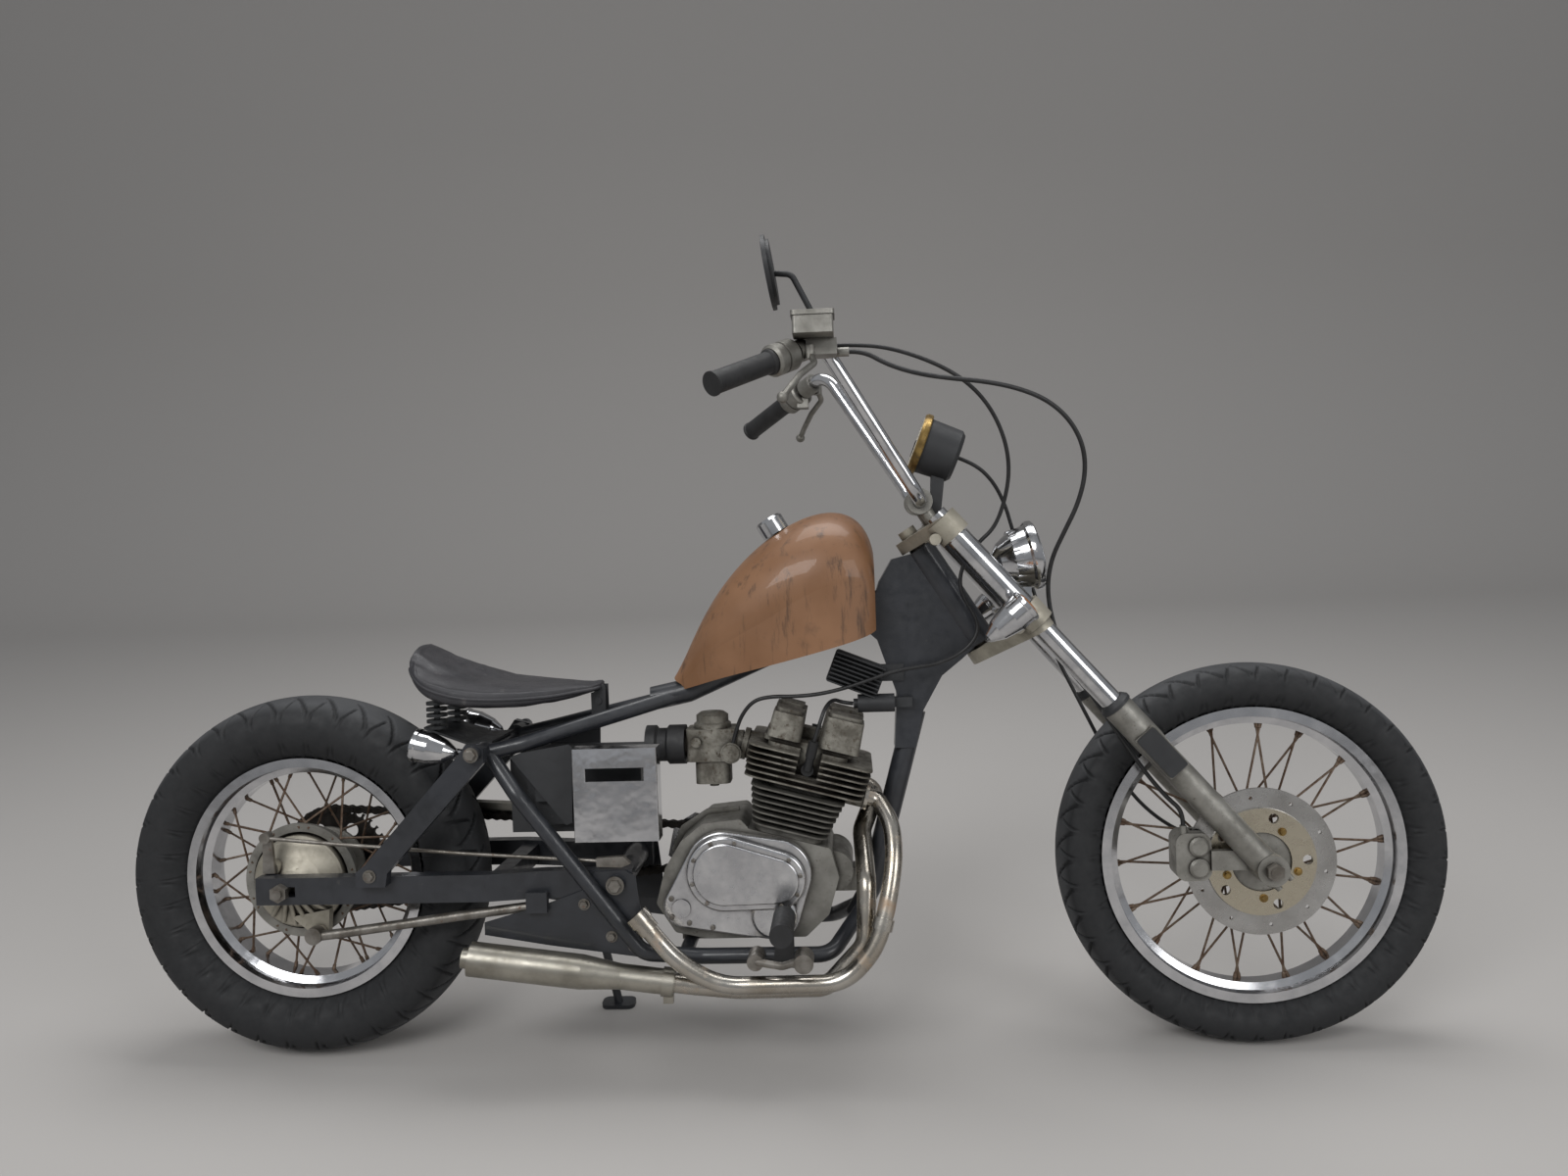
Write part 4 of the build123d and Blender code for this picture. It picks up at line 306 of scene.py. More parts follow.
FINISHES = {
    "rear_tyre": rubber, "front_tyre": rubber, "rear_rim": rim_metal, "front_rim": rim_metal,
    "rear_hub": cast, "front_hub": cast, "rear_spokes": rusty_wire, "front_spokes": rusty_wire,
    "rear_sprocket": oily_steel, "brake_disc": disc_steel, "brake_plate": cream_cast,
    "brake_linkage": worn_steel, "rear_axle": worn_steel, "chain": oily_steel,
    "chain_guard": can_steel, "swingarm": frame_black, "rear_struts": frame_black,
    "frame_main": frame_black, "engine_cases": cast, "crankcase_covers": polished,
    "cylinder_block": iron, "cylinder_head": rough_cast, "valve_cover": rough_cast,
    "carburettor": rough_cast, "header_pipes": pipe_steel, "muffler": can_steel,
    "tank": tank_rust, "tank_cap": chrome, "saddle": leather, "saddle_mount": satin_black,
    "side_covers": satin_black, "polished_cover": dented, "battery_box": satin_black,
    "electrics": satin_black, "rear_signals": chrome, "footpegs": grip_rubber,
    "foot_controls": worn_steel, "side_stand": frame_black, "lower_yoke": cream_cast,
    "top_yoke": cream_cast, "fork_stanchions": chrome, "fork_sliders": cast,
    "front_axle": worn_steel,
    "handlebar": chrome, "bar_clamps": cast, "grips": grip_rubber, "hand_controls": cast,
    "mirror": satin_black, "speedometer": satin_black, "headlight": chrome,
    "front_signals": chrome, "brake_caliper": cast, "fork_trim": satin_black,
    "intake_boot": grip_rubber, "spark_plugs": dark_hole,
}

for name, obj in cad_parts.items():
    obj.data.materials.clear()
    obj.data.materials.append(FINISHES.get(name, satin_black))
    for face in obj.data.polygons:
        face.use_smooth = True
    edges = obj.modifiers.new("edges", "EDGE_SPLIT")
    edges.split_angle = math.radians(HARD_EDGE)


# Building pieces

def new_piece(name, verts, faces, finish, body, split=HARD_EDGE):
    """A smooth mesh piece in the row frame that rides on a body, with hard edges past the split."""
    mesh = bpy.data.meshes.new(name)
    mesh.from_pydata([tuple(v) for v in verts], [], faces)
    mesh.update()
    obj = bpy.data.objects.new(name, mesh)
    bpy.context.scene.collection.objects.link(obj)
    mesh.materials.append(finish)
    for face in mesh.polygons:
        face.use_smooth = True
    if split:
        edges = obj.modifiers.new("edges", "EDGE_SPLIT")
        edges.split_angle = math.radians(split)
    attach(obj, body)
    return obj


class Build:
    """Collects many small shapes into one mesh, in upright millimetres."""

    def __init__(self):
        self.verts = []
        self.faces = []

    def lathe(self, centre, direction, outline, sides=20, start=0.0):
        """Turned shape from (distance along the direction, radius) pairs, closed at its ends."""
        heading = Vector(direction).normalized()
        side = heading.cross(Vector((0, 0, 1)))
        if side.length < 0.01:
            side = Vector((1, 0, 0))
        side.normalize()
        other = heading.cross(side)
        first = len(self.verts)
        for along, radius in outline:
            for step in range(sides):
                turn = start + 2 * math.pi * step / sides
                spot = Vector(centre) + heading * along
                spot += (side * math.cos(turn) + other * math.sin(turn)) * radius
                self.verts.append(bike(*spot))
        for ring in range(len(outline) - 1):
            for step in range(sides):
                a = first + ring * sides + step
                b = first + ring * sides + (step + 1) % sides
                self.faces.append((a, b, b + sides, a + sides))
        self.faces.append(tuple(first + step for step in reversed(range(sides))))
        last = first + (len(outline) - 1) * sides
        self.faces.append(tuple(last + step for step in range(sides)))

    def bolt(self, centre, direction, radius, sides=6):
        """A bolt head on a washer."""
        self.lathe(centre, direction, ((0, radius * 1.35), (radius * 0.22, radius * 1.35)), 18)
        self.lathe(centre, direction, ((0, radius), (radius * 0.85, radius),
                                       (radius * 1.0, radius * 0.86)), sides)

    def plate(self, outline, low, high):
        """A flat plate cut to an (x, z) outline, between two distances to the left."""
        first = len(self.verts)
        count = len(outline)
        for y in (low, high):
            for x, z in outline:
                self.verts.append(bike(x, y, z))
        for step in range(count):
            after = (step + 1) % count
            self.faces.append((first + step, first + after, first + count + after,
                               first + count + step))
        self.faces.append(tuple(first + step for step in reversed(range(count))))
        self.faces.append(tuple(first + count + step for step in range(count)))

    def done(self, name, finish, body):
        """Makes the piece."""
        made = new_piece(name, self.verts, self.faces, finish, body)
        shape = bmesh.new()
        shape.from_mesh(made.data)
        bmesh.ops.recalc_face_normals(shape, faces=shape.faces)
        shape.to_mesh(made.data)
        shape.free()
        return made


def tube(name, points, radius, finish, body):
    """A round tube along a smooth line through control points in upright millimetres."""
    curve = bpy.data.curves.new(name, "CURVE")
    curve.dimensions = "3D"
    curve.bevel_depth = radius / 1000
    curve.bevel_resolution = 4
    curve.use_fill_caps = True
    curve.resolution_u = 12
    line = curve.splines.new("NURBS")
    line.points.add(len(points) - 1)
    for spot, point in zip(line.points, points):
        spot.co = (*bike(*point), 1.0)
    line.order_u = 3
    line.use_endpoint_u = True
    obj = bpy.data.objects.new(name, curve)
    bpy.context.scene.collection.objects.link(obj)
    curve.materials.append(finish)
    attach(obj, body)
    return obj


# Tyres with cut tread

def arc_points(first, middle, last, count):
    """Points along the circle through three (y, radius) points."""
    (ax, ay), (bx, by), (cx, cy) = first, middle, last
    d = 2 * (ax * (by - cy) + bx * (cy - ay) + cx * (ay - by))
    ux = ((ax**2 + ay**2) * (by - cy) + (bx**2 + by**2) * (cy - ay)
          + (cx**2 + cy**2) * (ay - by)) / d
    uy = ((ax**2 + ay**2) * (cx - bx) + (bx**2 + by**2) * (ax - cx)
          + (cx**2 + cy**2) * (bx - ax)) / d
    radius = math.hypot(ax - ux, ay - uy)
    begin = math.atan2(ay - uy, ax - ux)
    end = math.atan2(cy - uy, cx - ux)
    while end - begin > math.pi:
        end -= 2 * math.pi
    while begin - end > math.pi:
        end += 2 * math.pi
    turns = np.linspace(begin, end, count)
    return [(ux + radius * math.cos(t), uy + radius * math.sin(t)) for t in turns]


TYRE_STEPS = 1120
GROOVE_WIDTH = 6.5
GROOVE_DEPTH = 4.2
NICK_DEPTH = 3.4
SIDEWALL_RIB = 0.7


def tyre(name, node_name, body, centre, radius, width, rim_radius, rim_half, pitches):
    """A tyre with slanted shoulder grooves and ribbed sidewalls, in place of the plain solid."""
    turns = TYRE_STEPS
    bead = rim_half - 4.3
    lip = rim_radius + 2.0
    shoulder = width * 0.44
    shoulder_radius = radius - width * 0.15
    bulge = (lip + shoulder_radius) / 2
    left = arc_points((bead, lip), (width / 2, bulge), (shoulder, shoulder_radius), 12)
    crown = arc_points((shoulder, shoulder_radius), (0, radius), (-shoulder, shoulder_radius), 40)
    right = [(-y, r) for y, r in reversed(left)]
    profile = left + crown[1:-1] + right
    profile = [(bead - 10, lip - 3)] + profile + [(-bead + 10, lip - 3)]
    across = np.array([p[0] for p in profile])
    reach = np.array([p[1] for p in profile])
    angles = np.arange(turns) * 2 * math.pi / turns
    tread = np.clip((reach - shoulder_radius) / (radius - shoulder_radius), 0, 1)
    share = np.abs(across) / shoulder
    depth = np.zeros((turns, len(profile)))
    phase = angles[:, None] * pitches / (2 * math.pi)
    side = np.where(across >= 0, 0.0, 0.5)[None, :]
    slant = 0.95 * np.power(np.clip(share, 0, 1.2), 0.8)[None, :]
    cell = (phase + side + slant) % 1.0
    width_share = GROOVE_WIDTH / (2 * math.pi * radius / pitches)
    groove = (np.abs(cell - 0.5) < width_share / 2) & (share > 0.14)[None, :] & (share < 1.05)
    depth[groove] = GROOVE_DEPTH
    short = (phase + side + 0.5 - 0.35 * share[None, :]) % 1.0
    nick = (np.abs(short - 0.5) < width_share / 2.6) & (share > 0.5)[None, :] & (share < 1.08)
    depth[nick] = NICK_DEPTH
    wall = (tread <= 0) & (reach > lip + 6)
    rings = np.where(wall, SIDEWALL_RIB * (np.sin(reach * 1.1) > 0.86), 0.0)
    depth = depth - rings[None, :]
    length = np.maximum(np.hypot(np.gradient(reach), np.gradient(across)), 1e-6)
    slope = np.gradient(reach) / length
    run = np.gradient(across) / length
    r = reach[None, :] - depth * np.abs(run)[None, :]
    y = across[None, :] - depth * np.sign(across)[None, :] * np.abs(slope)[None, :]
    x = centre[0] + r * np.cos(angles)[:, None]
    z = centre[2] + r * np.sin(angles)[:, None]
    cosine, sine = math.cos(LEAN), math.sin(LEAN)
    verts = np.stack([x - CENTRE_X, y * cosine + z * sine - CENTRE_Y,
                      -y * sine + z * cosine + LIFT], axis=-1) / 1000
    count = len(profile)
    index = np.arange(turns * count).reshape(turns, count)
    after = np.roll(index, -1, axis=0)
    quads = np.stack([index[:, :-1], after[:, :-1], after[:, 1:], index[:, 1:]], axis=-1)
    piece = new_piece(name, verts.reshape(-1, 3).tolist(), quads.reshape(-1, 4).tolist(), rubber,
                      body, split=None)
    piece.data.flip_normals()
    # Painted shade: groove cells get 0, the darkest tone; elsewhere the value follows crown wear.
    wear_and_groove_shade = np.where(depth > 1.5, 0.0, np.clip(tread * 1.6, 0.12, 1.0)[None, :])
    marks = piece.data.attributes.new("wear_and_groove_shade", "FLOAT", "POINT")
    marks.data.foreach_set("value", wear_and_groove_shade.astype(np.float32).ravel())
    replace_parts(piece, node_name)


# Painted shade in the grooves, which get the darkest tone; the sidewalls are darker and the scuffed
# crown lighter as rubber wear
rubber_tree = rubber.node_tree
rubber_surface = rubber_tree.nodes["Principled BSDF"]
wear_and_shade_attribute = rubber_tree.nodes.new("ShaderNodeAttribute")
wear_and_shade_attribute.attribute_name = "wear_and_groove_shade"
crown_colour = rubber_surface.inputs["Base Color"].links[0].from_socket
rubber_tree.links.new(mix(rubber_tree, wear_and_shade_attribute.outputs["Fac"], srgb(20, 21, 23), crown_colour),
                      rubber_surface.inputs["Base Color"])
# Piece, node, body, centre, radius, width, rim radius, half rim width, groove pitches round it
TYRES = (
    ("tread_rear", "rear_tyre", "rear_wheel",
     REAR_AXLE, REAR_RADIUS, 135.0, REAR_RIM_RADIUS, 43.0, 34),
    ("tread_front", "front_tyre", "front_wheel",
     FRONT_AXLE, FRONT_RADIUS, 90.0, FRONT_RIM_RADIUS, 29.0, 40),
)
for row in TYRES:
    tyre(*row)


# Spoke nipples at the rim and spoke heads at the hub

SPOKES_IN_A_ROW = 9
NIPPLE_DEPTH = 27
# Body, centre, rim radius, rows of spokes as (hub radius, hub y, rim y, lead in degrees)
WHEELS = (
    ("rear_wheel", REAR_AXLE, REAR_RIM_RADIUS, (
        (90, -49, -9, 30), (90, -49, -9, -30), (62, 47, 9, 34), (62, 47, 9, -34))),
    ("front_wheel", FRONT_AXLE, FRONT_RIM_RADIUS, (
        (42, -33.5, -7, 46), (42, -33.5, -7, -46), (42, 33.5, 7, 46), (42, 33.5, 7, -46))),
)
for body, centre, rim_radius, rows in WHEELS:
    nipples = Build()
    for index, (hub_radius, hub_y, rim_y, lead) in enumerate(rows):
        for turn in range(SPOKES_IN_A_ROW):
            at = math.radians(turn * 40 + index * 10)
            to = at + math.radians(lead)
            start = Vector((centre[0] + hub_radius * math.cos(at), hub_y,
                            centre[2] + hub_radius * math.sin(at)))
            end = Vector((centre[0] + (rim_radius - NIPPLE_DEPTH) * math.cos(to), rim_y,
                          centre[2] + (rim_radius - NIPPLE_DEPTH) * math.sin(to)))
            reach = (start - end).normalized()
            nipples.lathe(end, reach, ((-2, 3.4), (9, 3.0), (10, 2.2)), 10)
            nipples.lathe(start + reach * 3, -reach, ((0, 3.6), (3, 3.6)), 10)
    nipples.done(f"nipples_{body}", rusty_wire, body)


# Chain links

def round_point(centre, radius, angle):
    """The (x, z) point at an angle in degrees round a centre."""
    turn = math.radians(angle)
    return (centre[0] + radius * math.cos(turn), centre[1] + radius * math.sin(turn))


def chain_pins():
    """The pin centres round both sprockets, as the model has them."""
    rear, drive = (REAR_AXLE[0], REAR_AXLE[2]), DRIVE_SPROCKET
    large = CHAIN_PITCH / (2 * math.sin(math.pi / REAR_TEETH))
    small = CHAIN_PITCH / (2 * math.sin(math.pi / DRIVE_TEETH))
    reach = math.hypot(drive[0] - rear[0], drive[1] - rear[1])
    heading = math.degrees(math.atan2(drive[1] - rear[1], drive[0] - rear[0]))
    tangent = 90 - math.degrees(math.asin((large - small) / reach))
    arcs = []
    for centre, radius, teeth, first, last in (
            (rear, large, REAR_TEETH, heading + tangent, heading + 360 - tangent),
            (drive, small, DRIVE_TEETH, heading - tangent, heading + tangent)):
        step = 360.0 / teeth
        count = int((last - first) / step)
        start = (first + last - count * step) / 2
        arcs.append([round_point(centre, radius, start + k * step) for k in range(count + 1)])
    pins = []
    for arc, following in ((arcs[0], arcs[1]), (arcs[1], arcs[0])):
        pins += arc
        (ax, az), (bx, bz) = arc[-1], following[0]
        count = round(math.hypot(bx - ax, bz - az) / CHAIN_PITCH)
        pins += [(ax + (bx - ax) * k / count, az + (bz - az) * k / count)
                 for k in range(1, count)]
    return pins


LINK_RADIUS = 6.8
LINK_WAIST = 4.6
LINK_PLATE = 1.5
links = Build()
pins = chain_pins()
for index, (x, z) in enumerate(pins):
    next_x, next_z = pins[(index + 1) % len(pins)]
    heading = math.atan2(next_z - z, next_x - x)
    outline = []
    for centre, begin in (((next_x, next_z), -100), ((x, z), 80)):
        for step in range(7):
            turn = heading + math.radians(begin + step * 200 / 6)
            outline.append((centre[0] + LINK_RADIUS * math.cos(turn),
                            centre[1] + LINK_RADIUS * math.sin(turn)))
    middle = ((x + next_x) / 2, (z + next_z) / 2)
    upper = (middle[0] - LINK_WAIST * math.sin(heading), middle[1] + LINK_WAIST * math.cos(heading))
    lower = (middle[0] + LINK_WAIST * math.sin(heading), middle[1] - LINK_WAIST * math.cos(heading))
    outline.insert(7, upper)
    outline.append(lower)
    # Inner and outer links take turns
    shift = 0.0 if index % 2 else LINK_PLATE
    for side in (1, -1):
        inner = CHAIN_Y + side * (3.6 + shift)
        outer = inner + side * LINK_PLATE
        links.plate(outline, min(inner, outer), max(inner, outer))
    links.lathe((x, CHAIN_Y - 6.9, z), ACROSS, ((0, 2.4), (13.8, 2.4)), 8)
    links.lathe((x, CHAIN_Y - 3.7, z), ACROSS, ((0, 5.0), (7.4, 5.0)), 12)
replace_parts(links.done("chain_links", oily_steel, "chassis"), "chain")


# Saddle

# Stations from the tail to the nose: x, half width, underside, edge and top
SADDLE_ROWS = (
    (208, 66, 650, 664, 692), (222, 92, 630, 650, 680), (245, 112, 610, 634, 664),
    (280, 124, 598, 622, 652), (320, 127, 592, 614, 643), (362, 118, 590, 610, 636),
    (405, 98, 590, 608, 632), (445, 72, 594, 608, 629), (480, 46, 600, 611, 628),
    (503, 30, 606, 613, 626), (514, 16, 610, 615, 623),
)


def smooth_row(rows, place):
    """A row between the given rows, by Catmull-Rom interpolation along the table."""
    place = min(max(place, 0), len(rows) - 1.0001)
    index = int(place)
    t = place - index
    corners = [rows[min(max(index + k, 0), len(rows) - 1)] for k in (-1, 0, 1, 2)]
    values = []
    for a, b, c, d in zip(*corners):
        values.append(0.5 * (2 * b + (c - a) * t + (2 * a - 5 * b + 4 * c - d) * t * t
                             + (3 * b - a - 3 * c + d) * t ** 3))
    return values


def saddle_ring(place, sides):
    """One closed cross-section of the saddle: crowned top, rolled edge and flat pan."""
    x, half, under, edge, top = smooth_row(SADDLE_ROWS, place)
    ring = []
    for step in range(sides):
        turn = 2 * math.pi * step / sides
        c, s = math.cos(turn), math.sin(turn)
        y = half * math.copysign(abs(c) ** 0.72, c)
        if s >= 0:
            crown = (top - edge) * (s ** 0.8)
            dip = 7.0 * math.exp(-(y / (half * 0.34)) ** 2) * math.sin(math.pi * min(place / 8, 1))
            z = edge + crown - dip * 0.5
        else:
            z = edge + (edge - under) * math.copysign(abs(s) ** 0.45, s)
        spot = bike(x, y, z)
        wrinkle = noise.noise(spot * 34) * 0.0011 + noise.noise(spot * 90) * 0.0004
        ring.append(spot + Vector((0, 0, wrinkle)))
    return ring


SADDLE_SIDES = 72
SADDLE_STEPS = 90
SADDLE_LAST = len(SADDLE_ROWS) - 1
verts = []
for step in range(SADDLE_STEPS + 1):
    verts += saddle_ring(step * SADDLE_LAST / SADDLE_STEPS, SADDLE_SIDES)
faces = []
for step in range(SADDLE_STEPS):
    for side in range(SADDLE_SIDES):
        a = step * SADDLE_SIDES + side
        b = step * SADDLE_SIDES + (side + 1) % SADDLE_SIDES
        faces.append((a, b, b + SADDLE_SIDES, a + SADDLE_SIDES))
faces.append(tuple(reversed(range(SADDLE_SIDES))))
faces.append(tuple(SADDLE_STEPS * SADDLE_SIDES + side for side in range(SADDLE_SIDES)))
cushion = new_piece("saddle_cushion", verts, faces, leather, "chassis", split=None)
cushion.data.flip_normals()


SWELL_FRAMES = 20


def swell(obj, held, pressure, limit):
    """Fills a closed pad by cloth simulation. Held points stay, and none moves past the limit."""
    group = obj.vertex_groups.new(name="held")
    group.add(held, 1.0, "REPLACE")
    cloth = obj.modifiers.new("cloth", "CLOTH")
    cloth.settings.vertex_group_mass = "held"
    cloth.settings.use_pressure = True
    cloth.settings.uniform_pressure_force = pressure
    cloth.settings.effector_weights.gravity = 0.0
    cloth.settings.quality = 6
    for step in range(1, SWELL_FRAMES + 1):
        bpy.context.scene.frame_set(step)
    filled = obj.evaluated_get(bpy.context.evaluated_depsgraph_get())
    moved = [vertex.co.copy() for vertex in filled.data.vertices]
    obj.modifiers.remove(cloth)
    bpy.context.scene.frame_set(1)
    for vertex, after in zip(obj.data.vertices, moved):
        shift = after - vertex.co
        if shift.length > limit:
            shift *= limit / shift.length
        vertex.co += shift


upright = TURN.inverted()
pan = []
for index, spot in enumerate(verts):
    place = (index // SADDLE_SIDES) * SADDLE_LAST / SADDLE_STEPS
    height = (upright @ (spot * 1000 + Vector((CENTRE_X, CENTRE_Y, -LIFT)))).z
    if height < smooth_row(SADDLE_ROWS, place)[3] + 5:
        pan.append(index)
swell(cushion, pan, pressure=4.0, limit=0.006)
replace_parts(cushion, "saddle")
PIPING_STEPS = 40
piping = []
for side in (1, -1):
    for step in range(1, PIPING_STEPS):
        place = step * SADDLE_LAST / PIPING_STEPS
        row = smooth_row(SADDLE_ROWS, place if side == 1 else SADDLE_LAST - place)
        piping.append((row[0], side * row[1] * 0.985, row[3] - 1.5))
piping.append(piping[0])
tube("saddle_piping", piping, 3.2, leather, "chassis")


# Lamps, dial and mirror

BEAM = (0.981, 0, 0.192)
FLUTES = 20
lamps = Build()
lamps.lathe((1248, 0, 812.2), BEAM, ((0, 51), (3, 50), (5, 44), (6, 30), (6.4, 0.5)), 48)
lamps.done("headlight_lens", lens_clear, "steering")
rings = Build()
rings.lathe((1247, 0, 812), BEAM, ((-12, 56.2), (-6, 58.0), (0, 57.4), (3, 54), (3, 51)), 64)
for flute in range(FLUTES):
    turn = 2 * math.pi * flute / FLUTES
    start = Vector((1205, 0, 803.8)) + Vector((-BEAM[2] * math.sin(turn), math.cos(turn),
                                               BEAM[0] * math.sin(turn))) * 47
    rings.lathe(start, BEAM, ((0, 1.2), (22, 2.6), (34, 1.0)), 8)
rings.done("headlight_ring", chrome, "steering")

# Body, face centre, direction away from the lens, radius
SIGNALS = (
    ("steering", (1206, 156, 738), (-0.77, 0, -0.64), 25),
    ("steering", (1206, -156, 738), (-0.77, 0, -0.64), 25),
    ("chassis", (232, 118, 540), (0.97, 0, -0.24), 26),
    ("chassis", (232, -118, 540), (0.97, 0, -0.24), 26),
)
for index, (body, centre, direction, radius) in enumerate(SIGNALS):
    lens = Build()
    back = -Vector(direction)
    lens.lathe(centre, back, ((-1, radius - 2.5), (1.5, radius - 3), (4, radius * 0.6),
                              (5, 0.5)), 28)
    lens.done(f"signal_lens_{index}", lens_amber, body)
    ring = Build()
    ring.lathe(centre, back, ((-8, radius + 0.3), (-6, radius + 1.6), (-1, radius + 1.6),
                              (1, radius), (1, radius - 2.5)), 36)
    ring.done(f"signal_ring_{index}", chrome, body)

DIAL = (-0.929, 0, 0.37)
DIAL_CENTRE = Vector((1055, 0, 1003))
bezel = Build()
bezel.lathe(DIAL_CENTRE, DIAL, ((-13, 50.3), (-11, 52.0), (-4, 52.0), (0, 49), (0.4, 44)), 56)
bezel.done("dial_bezel", brass, "steering")
face = Build()
face.lathe(DIAL_CENTRE, DIAL, ((0.3, 44), (0.7, 43.5)), 48)
face.done("dial_face_plate", dial_face, "steering")
marks = Build()
heading = Vector(DIAL)
up = Vector((0.37, 0, 0.929))
TICKS = 25
for tick in range(TICKS):
    turn = math.radians(225 - tick * 270 / (TICKS - 1))
    spot = DIAL_CENTRE + (ACROSS * -math.cos(turn) + up * math.sin(turn)) * 37 + heading * 0.6
    foot, tip = (1.5, 1.2) if tick % 4 == 0 else (0.8, 0.6)
    marks.lathe(spot, heading, ((0, foot), (0.5, tip)), 8)
marks.lathe(DIAL_CENTRE + heading * 0.6, heading, ((0, 5), (1.8, 4)), 16)
needle_end = DIAL_CENTRE + (ACROSS * 0.7 - up * 0.7) * 32 + heading * 1.2
marks.lathe(DIAL_CENTRE + heading * 1.2, needle_end - DIAL_CENTRE - heading * 1.2,
            ((0, 1.3), (32, 0.5)), 6)
marks.done("dial_marks", dark_hole, "steering")

MIRROR_CENTRE = Vector((828.6, -190, 1246))
MIRROR_OUT = Vector((-0.99, 0, -0.14))
MIRROR_UP = Vector((-0.14, 0, 0.99))
MIRROR_SIDES = 48
verts = []
for out, half, tall in ((0.0, 69, 51), (0.6, 68, 50)):
    for step in range(MIRROR_SIDES):
        turn = 2 * math.pi * step / MIRROR_SIDES
        verts.append(bike(*(MIRROR_CENTRE + MIRROR_OUT * out + ACROSS * half * math.cos(turn)
                            + MIRROR_UP * tall * math.sin(turn))))
faces = []
for step in range(MIRROR_SIDES):
    after = (step + 1) % MIRROR_SIDES
    faces.append((step, after, MIRROR_SIDES + after, MIRROR_SIDES + step))
faces.append(tuple(reversed(range(MIRROR_SIDES))))
faces.append(tuple(range(MIRROR_SIDES, 2 * MIRROR_SIDES)))
new_piece("mirror_face", verts, faces, mirror_glass, "steering")


# Fasteners

# Place, direction, radius
CHASSIS_BOLTS = (
    ((334.5, -151.5, 527), OUT_RIGHT, 9), ((334.5, 151.5, 527), OUT_LEFT, 9),
    ((157, -139.7, 334), OUT_RIGHT, 8), ((157, 139.7, 334), OUT_LEFT, 8),
    ((548, -115.5, 306), OUT_RIGHT, 11), ((548, 115.5, 306), OUT_LEFT, 11),
    ((495, -107.6, 274), OUT_RIGHT, 7), ((538, -107.6, 221), OUT_RIGHT, 7),
    ((572, -107.6, 204), OUT_RIGHT, 6), ((495, 107.6, 274), OUT_LEFT, 7),
    ((538, 107.6, 221), OUT_LEFT, 7),
)
bolts = Build()
for place, direction, radius in CHASSIS_BOLTS:
    bolts.bolt(place, direction, radius)
bolts.done("chassis_bolts", worn_steel, "chassis")

# Screws round the right engine cover: x and z of the middle, distance, angles
COVER_SCREWS = (
    (722, 317, 54, (70, 112, 154, 196, 238)), (806, 305, 40, (58, 12, -34, -80)),
)
CASE_SCREWS = ((634, 276), (634, 246), (662, 236), (700, 228))
screws = Build()
for x, z, away, angles in COVER_SCREWS:
    for angle in map(math.radians, angles):
        screws.lathe((x + away * math.cos(angle), -104, z + away * math.sin(angle)), OUT_RIGHT,
                     ((0, 3.2), (1.6, 3.2), (2.2, 2.4)), 12)
for x, z in CASE_SCREWS:
    screws.lathe((x, -92, z), OUT_RIGHT, ((0, 4.0), (2.2, 4.0), (3.0, 3.0)), 12)
screws.done("cover_screws", worn_steel, "chassis")

# Disc fixings
DISC_BOLT_CIRCLE = 58
buttons = Build()
for turn in range(5):
    angle = math.radians(turn * 72 + 56)
    buttons.bolt((FRONT_AXLE[0] + DISC_BOLT_CIRCLE * math.cos(angle), -65.4,
                  FRONT_AXLE[2] + DISC_BOLT_CIRCLE * math.sin(angle)), OUT_RIGHT, 5)
buttons.done("disc_bolts", brass, "front_wheel")


# Hoses and cables, along the same points as the model

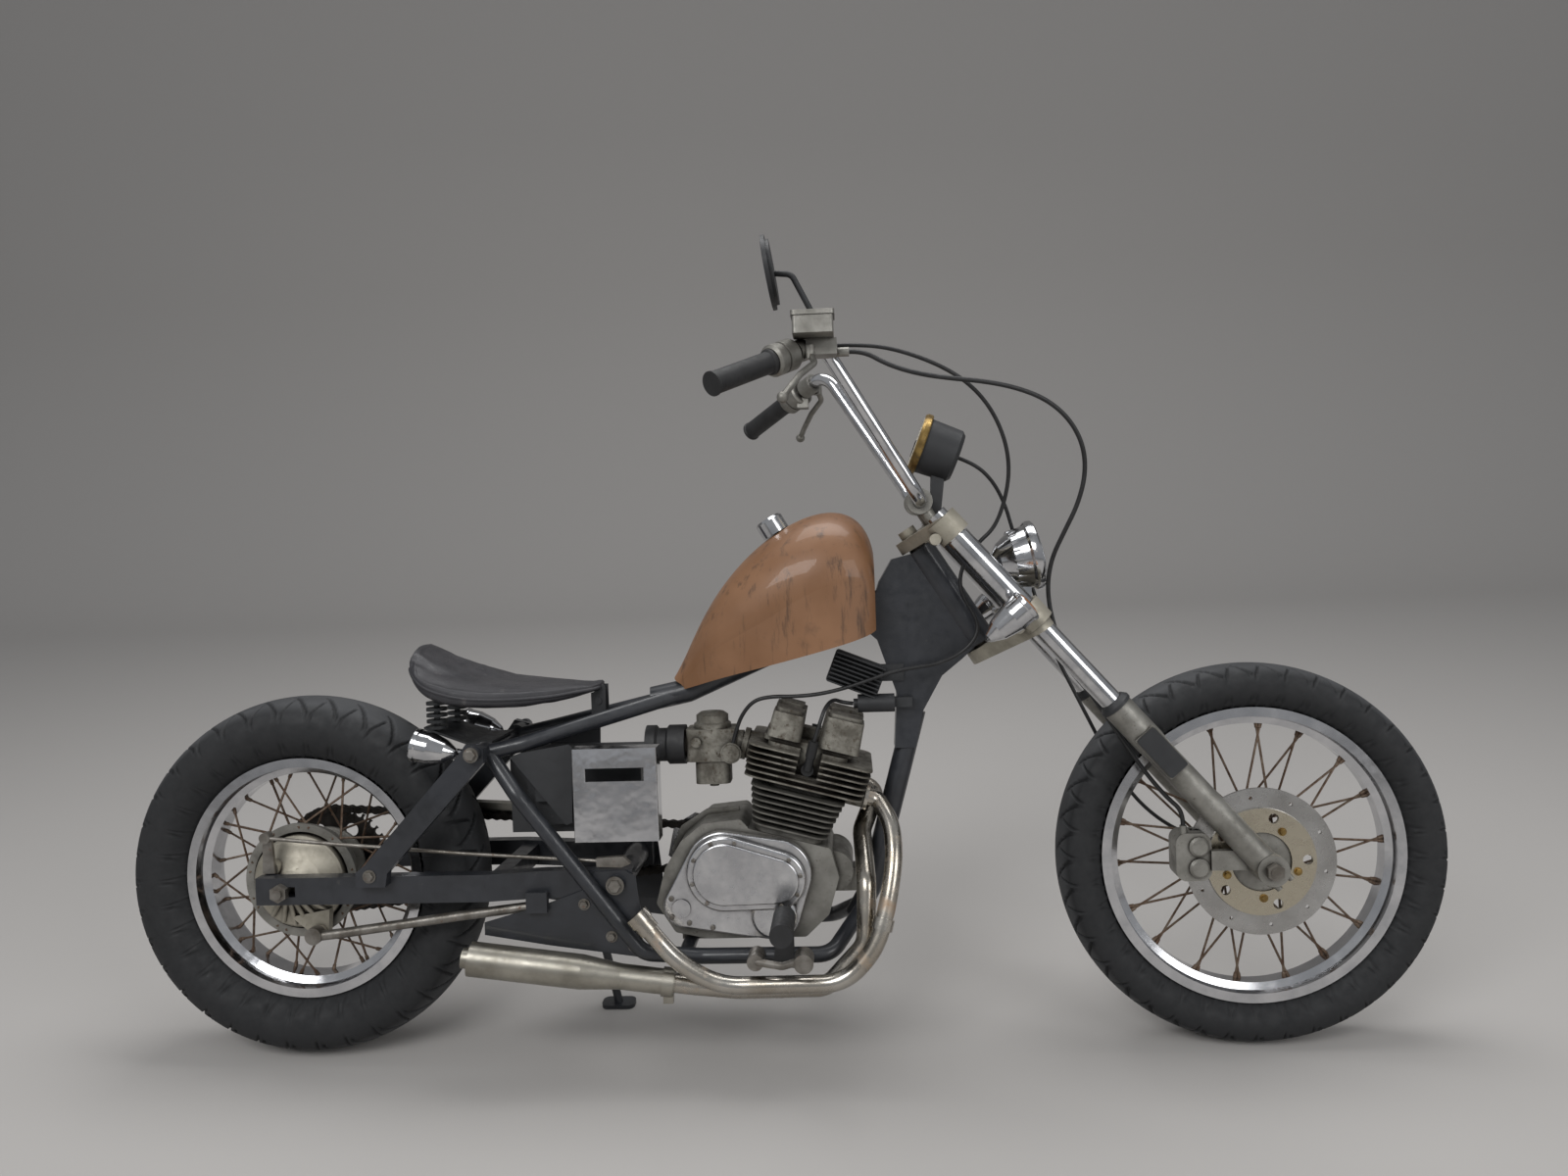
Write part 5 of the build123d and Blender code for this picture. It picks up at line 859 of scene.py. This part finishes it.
# Piece, node, body, radius, length in metres, stiffness, control points
LINES = (
    ("plug_lead_line", "plug_lead", "chassis", 3.2, 0.124, "medium", (
        (873.0, -88.0, 525.6), (884.0, -88.0, 557.0), (893.0, -77.0, 580.0), (906.0, -52.0, 588.0),
        (920.0, -38.5, 580.0), (937.6, -38.0, 578.0))),
    ("brake_hose_line", "brake_hose", "steering", 3.6, 1.085, "medium", (
        (948, -172, 1128), (970, -172, 1128), (1004, -176, 1106), (1050, -176, 1090),
        (1100, -170, 1082), (1150, -161, 1077), (1200, -149, 1067), (1246, -138, 1049),
        (1282, -127, 1019), (1304, -117, 979), (1308, -108, 935), (1297, -98, 889),
        (1277, -84, 846), (1260, -66, 806), (1254, -54, 762), (1259, -50, 716), (1273, -50, 668),
        (1296, -50, 622), (1324, -51, 578), (1352, -55, 534), (1380, -58, 490), (1406, -64, 450),
        (1432, -72, 418), (1452, -80, 400), (1452, -80, 377.3))),
    ("throttle_loop_line", "throttle_loop", "steering", 3.2, 0.62, "stiff", (
        (930.3, -161, 1140), (954, -161, 1140), (1000, -158, 1136), (1048, -151, 1122),
        (1094, -143, 1102), (1134, -131, 1076), (1166, -114, 1040), (1188, -96, 994),
        (1196, -78, 948), (1190, -62, 902), (1174, -50, 858), (1147.8, -44, 835.2),
        (1125.3, -42, 807), (1114.9, -42, 774.6), (1121.3, -42, 745.5), (1129.8, -42, 732))),
    ("throttle_cable_line", "throttle_cable", "chassis", 3.2, 0.518, "stiff", (
        (1129.9, -42, 731.7), (1138.2, -42, 718.4), (1144.5, -42, 695.2), (1133.3, -43, 671.7),
        (1107.7, -45, 652.2), (1074, -49, 640), (1038, -53, 636), (1000, -57, 630),
        (962, -62, 618), (922, -65, 606), (882, -66, 598), (842, -63, 595), (806, -60, 596),
        (776, -56, 590), (756, -52, 568), (745, -48, 543), (738, -45, 519.3))),
    ("speedometer_line", "speedometer_cable", "steering", 3.2, 0.839, "stiff", (
        (1122.2, 0, 976.2), (1150, 0, 965.1), (1180, 14, 938), (1202, 34, 900), (1216, 50, 856),
        (1230, 58, 808), (1247, 58, 762), (1259, 56, 716), (1273, 56, 668), (1294, 57, 618),
        (1318, 57, 568), (1342, 58, 518), (1366, 60, 468), (1392, 62, 420), (1424, 64, 378),
        (1464, 66, 344), (1506, 67, 322), (1551.2, 68, 312))),
)
for name, node_name, body, radius, length, stiffness, points in LINES:
    line = tube(name, points, radius, hose_rubber, body)
    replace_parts(line, node_name)


# Stage, camera and light

def plain_material(name, colour):
    """A plain matte material for the stage."""
    made = bpy.data.materials.new(name)
    made.use_nodes = True
    surface = made.node_tree.nodes["Principled BSDF"]
    surface.inputs["Base Color"].default_value = colour
    surface.inputs["Roughness"].default_value = 0.9
    return made


STAGE_FRONT = -9.0
STAGE_BACK = 4.0
STAGE_CURVE = 2.0
STAGE_TOP = 9.0
STAGE_HALF = 14.0


def stage_sheet():
    """A pale floor that curves up into the backdrop, in metres."""
    rows = [(y, 0.0) for y in np.linspace(STAGE_FRONT, STAGE_BACK, 6)]
    rows += [(STAGE_BACK + STAGE_CURVE * math.sin(t), STAGE_CURVE - STAGE_CURVE * math.cos(t))
             for t in np.linspace(0, math.pi / 2, 14)[1:]]
    rows += [(STAGE_BACK + STAGE_CURVE, STAGE_TOP)]
    verts = [(x, y, z) for y, z in rows for x in (-STAGE_HALF, STAGE_HALF)]
    faces = [(2 * k, 2 * k + 1, 2 * k + 3, 2 * k + 2) for k in range(len(rows) - 1)]
    mesh = bpy.data.meshes.new("stage_sheet")
    mesh.from_pydata(verts, [], faces)
    for face in mesh.polygons:
        face.use_smooth = True
    sheet = bpy.data.objects.new("stage_sheet", mesh)
    bpy.context.scene.collection.objects.link(sheet)
    mesh.materials.append(plain_material("stage_pale", srgb(176, 173, 170)))


stage_sheet()

# The photograph's camera, solved from both wheels
camera_data = bpy.data.cameras.new("camera")
camera_data.sensor_width = 36.0
camera_data.lens = 25.72
camera_data.clip_end = 100
camera = bpy.data.objects.new("camera", camera_data)
bpy.context.scene.collection.objects.link(camera)
view = (Matrix.Rotation(math.radians(3.427), 4, "Z")
        @ Matrix.Rotation(math.radians(-8.818), 4, "X")
        @ Matrix.Rotation(math.radians(2.338), 4, "Y")
        @ Matrix.Rotation(math.radians(90), 4, "X"))
camera.matrix_world = Matrix.Translation((0.1462, -1.8881, 1.0525)) @ view
bpy.context.scene.camera = camera


def area_light(name, place, target, size, power):
    """A soft square lamp aimed at a point."""
    data = bpy.data.lights.new(name, "AREA")
    data.shape = "RECTANGLE"
    data.size, data.size_y = size
    data.energy = power
    lamp = bpy.data.objects.new(name, data)
    bpy.context.scene.collection.objects.link(lamp)
    lamp.location = place
    lamp.rotation_euler = (Vector(target) - Vector(place)).to_track_quat("-Z", "Y").to_euler()


area_light("key", (-1.6, -3.4, 3.4), (0, 0, 0.4), (2.4, 1.6), 95)
area_light("fill", (3.0, -3.0, 2.2), (0.2, 0, 0.5), (2.0, 2.0), 48)
area_light("top", (0.2, 0.6, 3.8), (0, 0, 0.3), (3.2, 1.6), 70)

world = bpy.data.worlds.new("studio")
bpy.context.scene.world = world
world.use_nodes = True
world.node_tree.nodes["Background"].inputs["Color"].default_value = (0.8, 0.82, 0.85, 1)
world.node_tree.nodes["Background"].inputs["Strength"].default_value = 0.42

bpy.context.scene.view_settings.view_transform = "Standard"
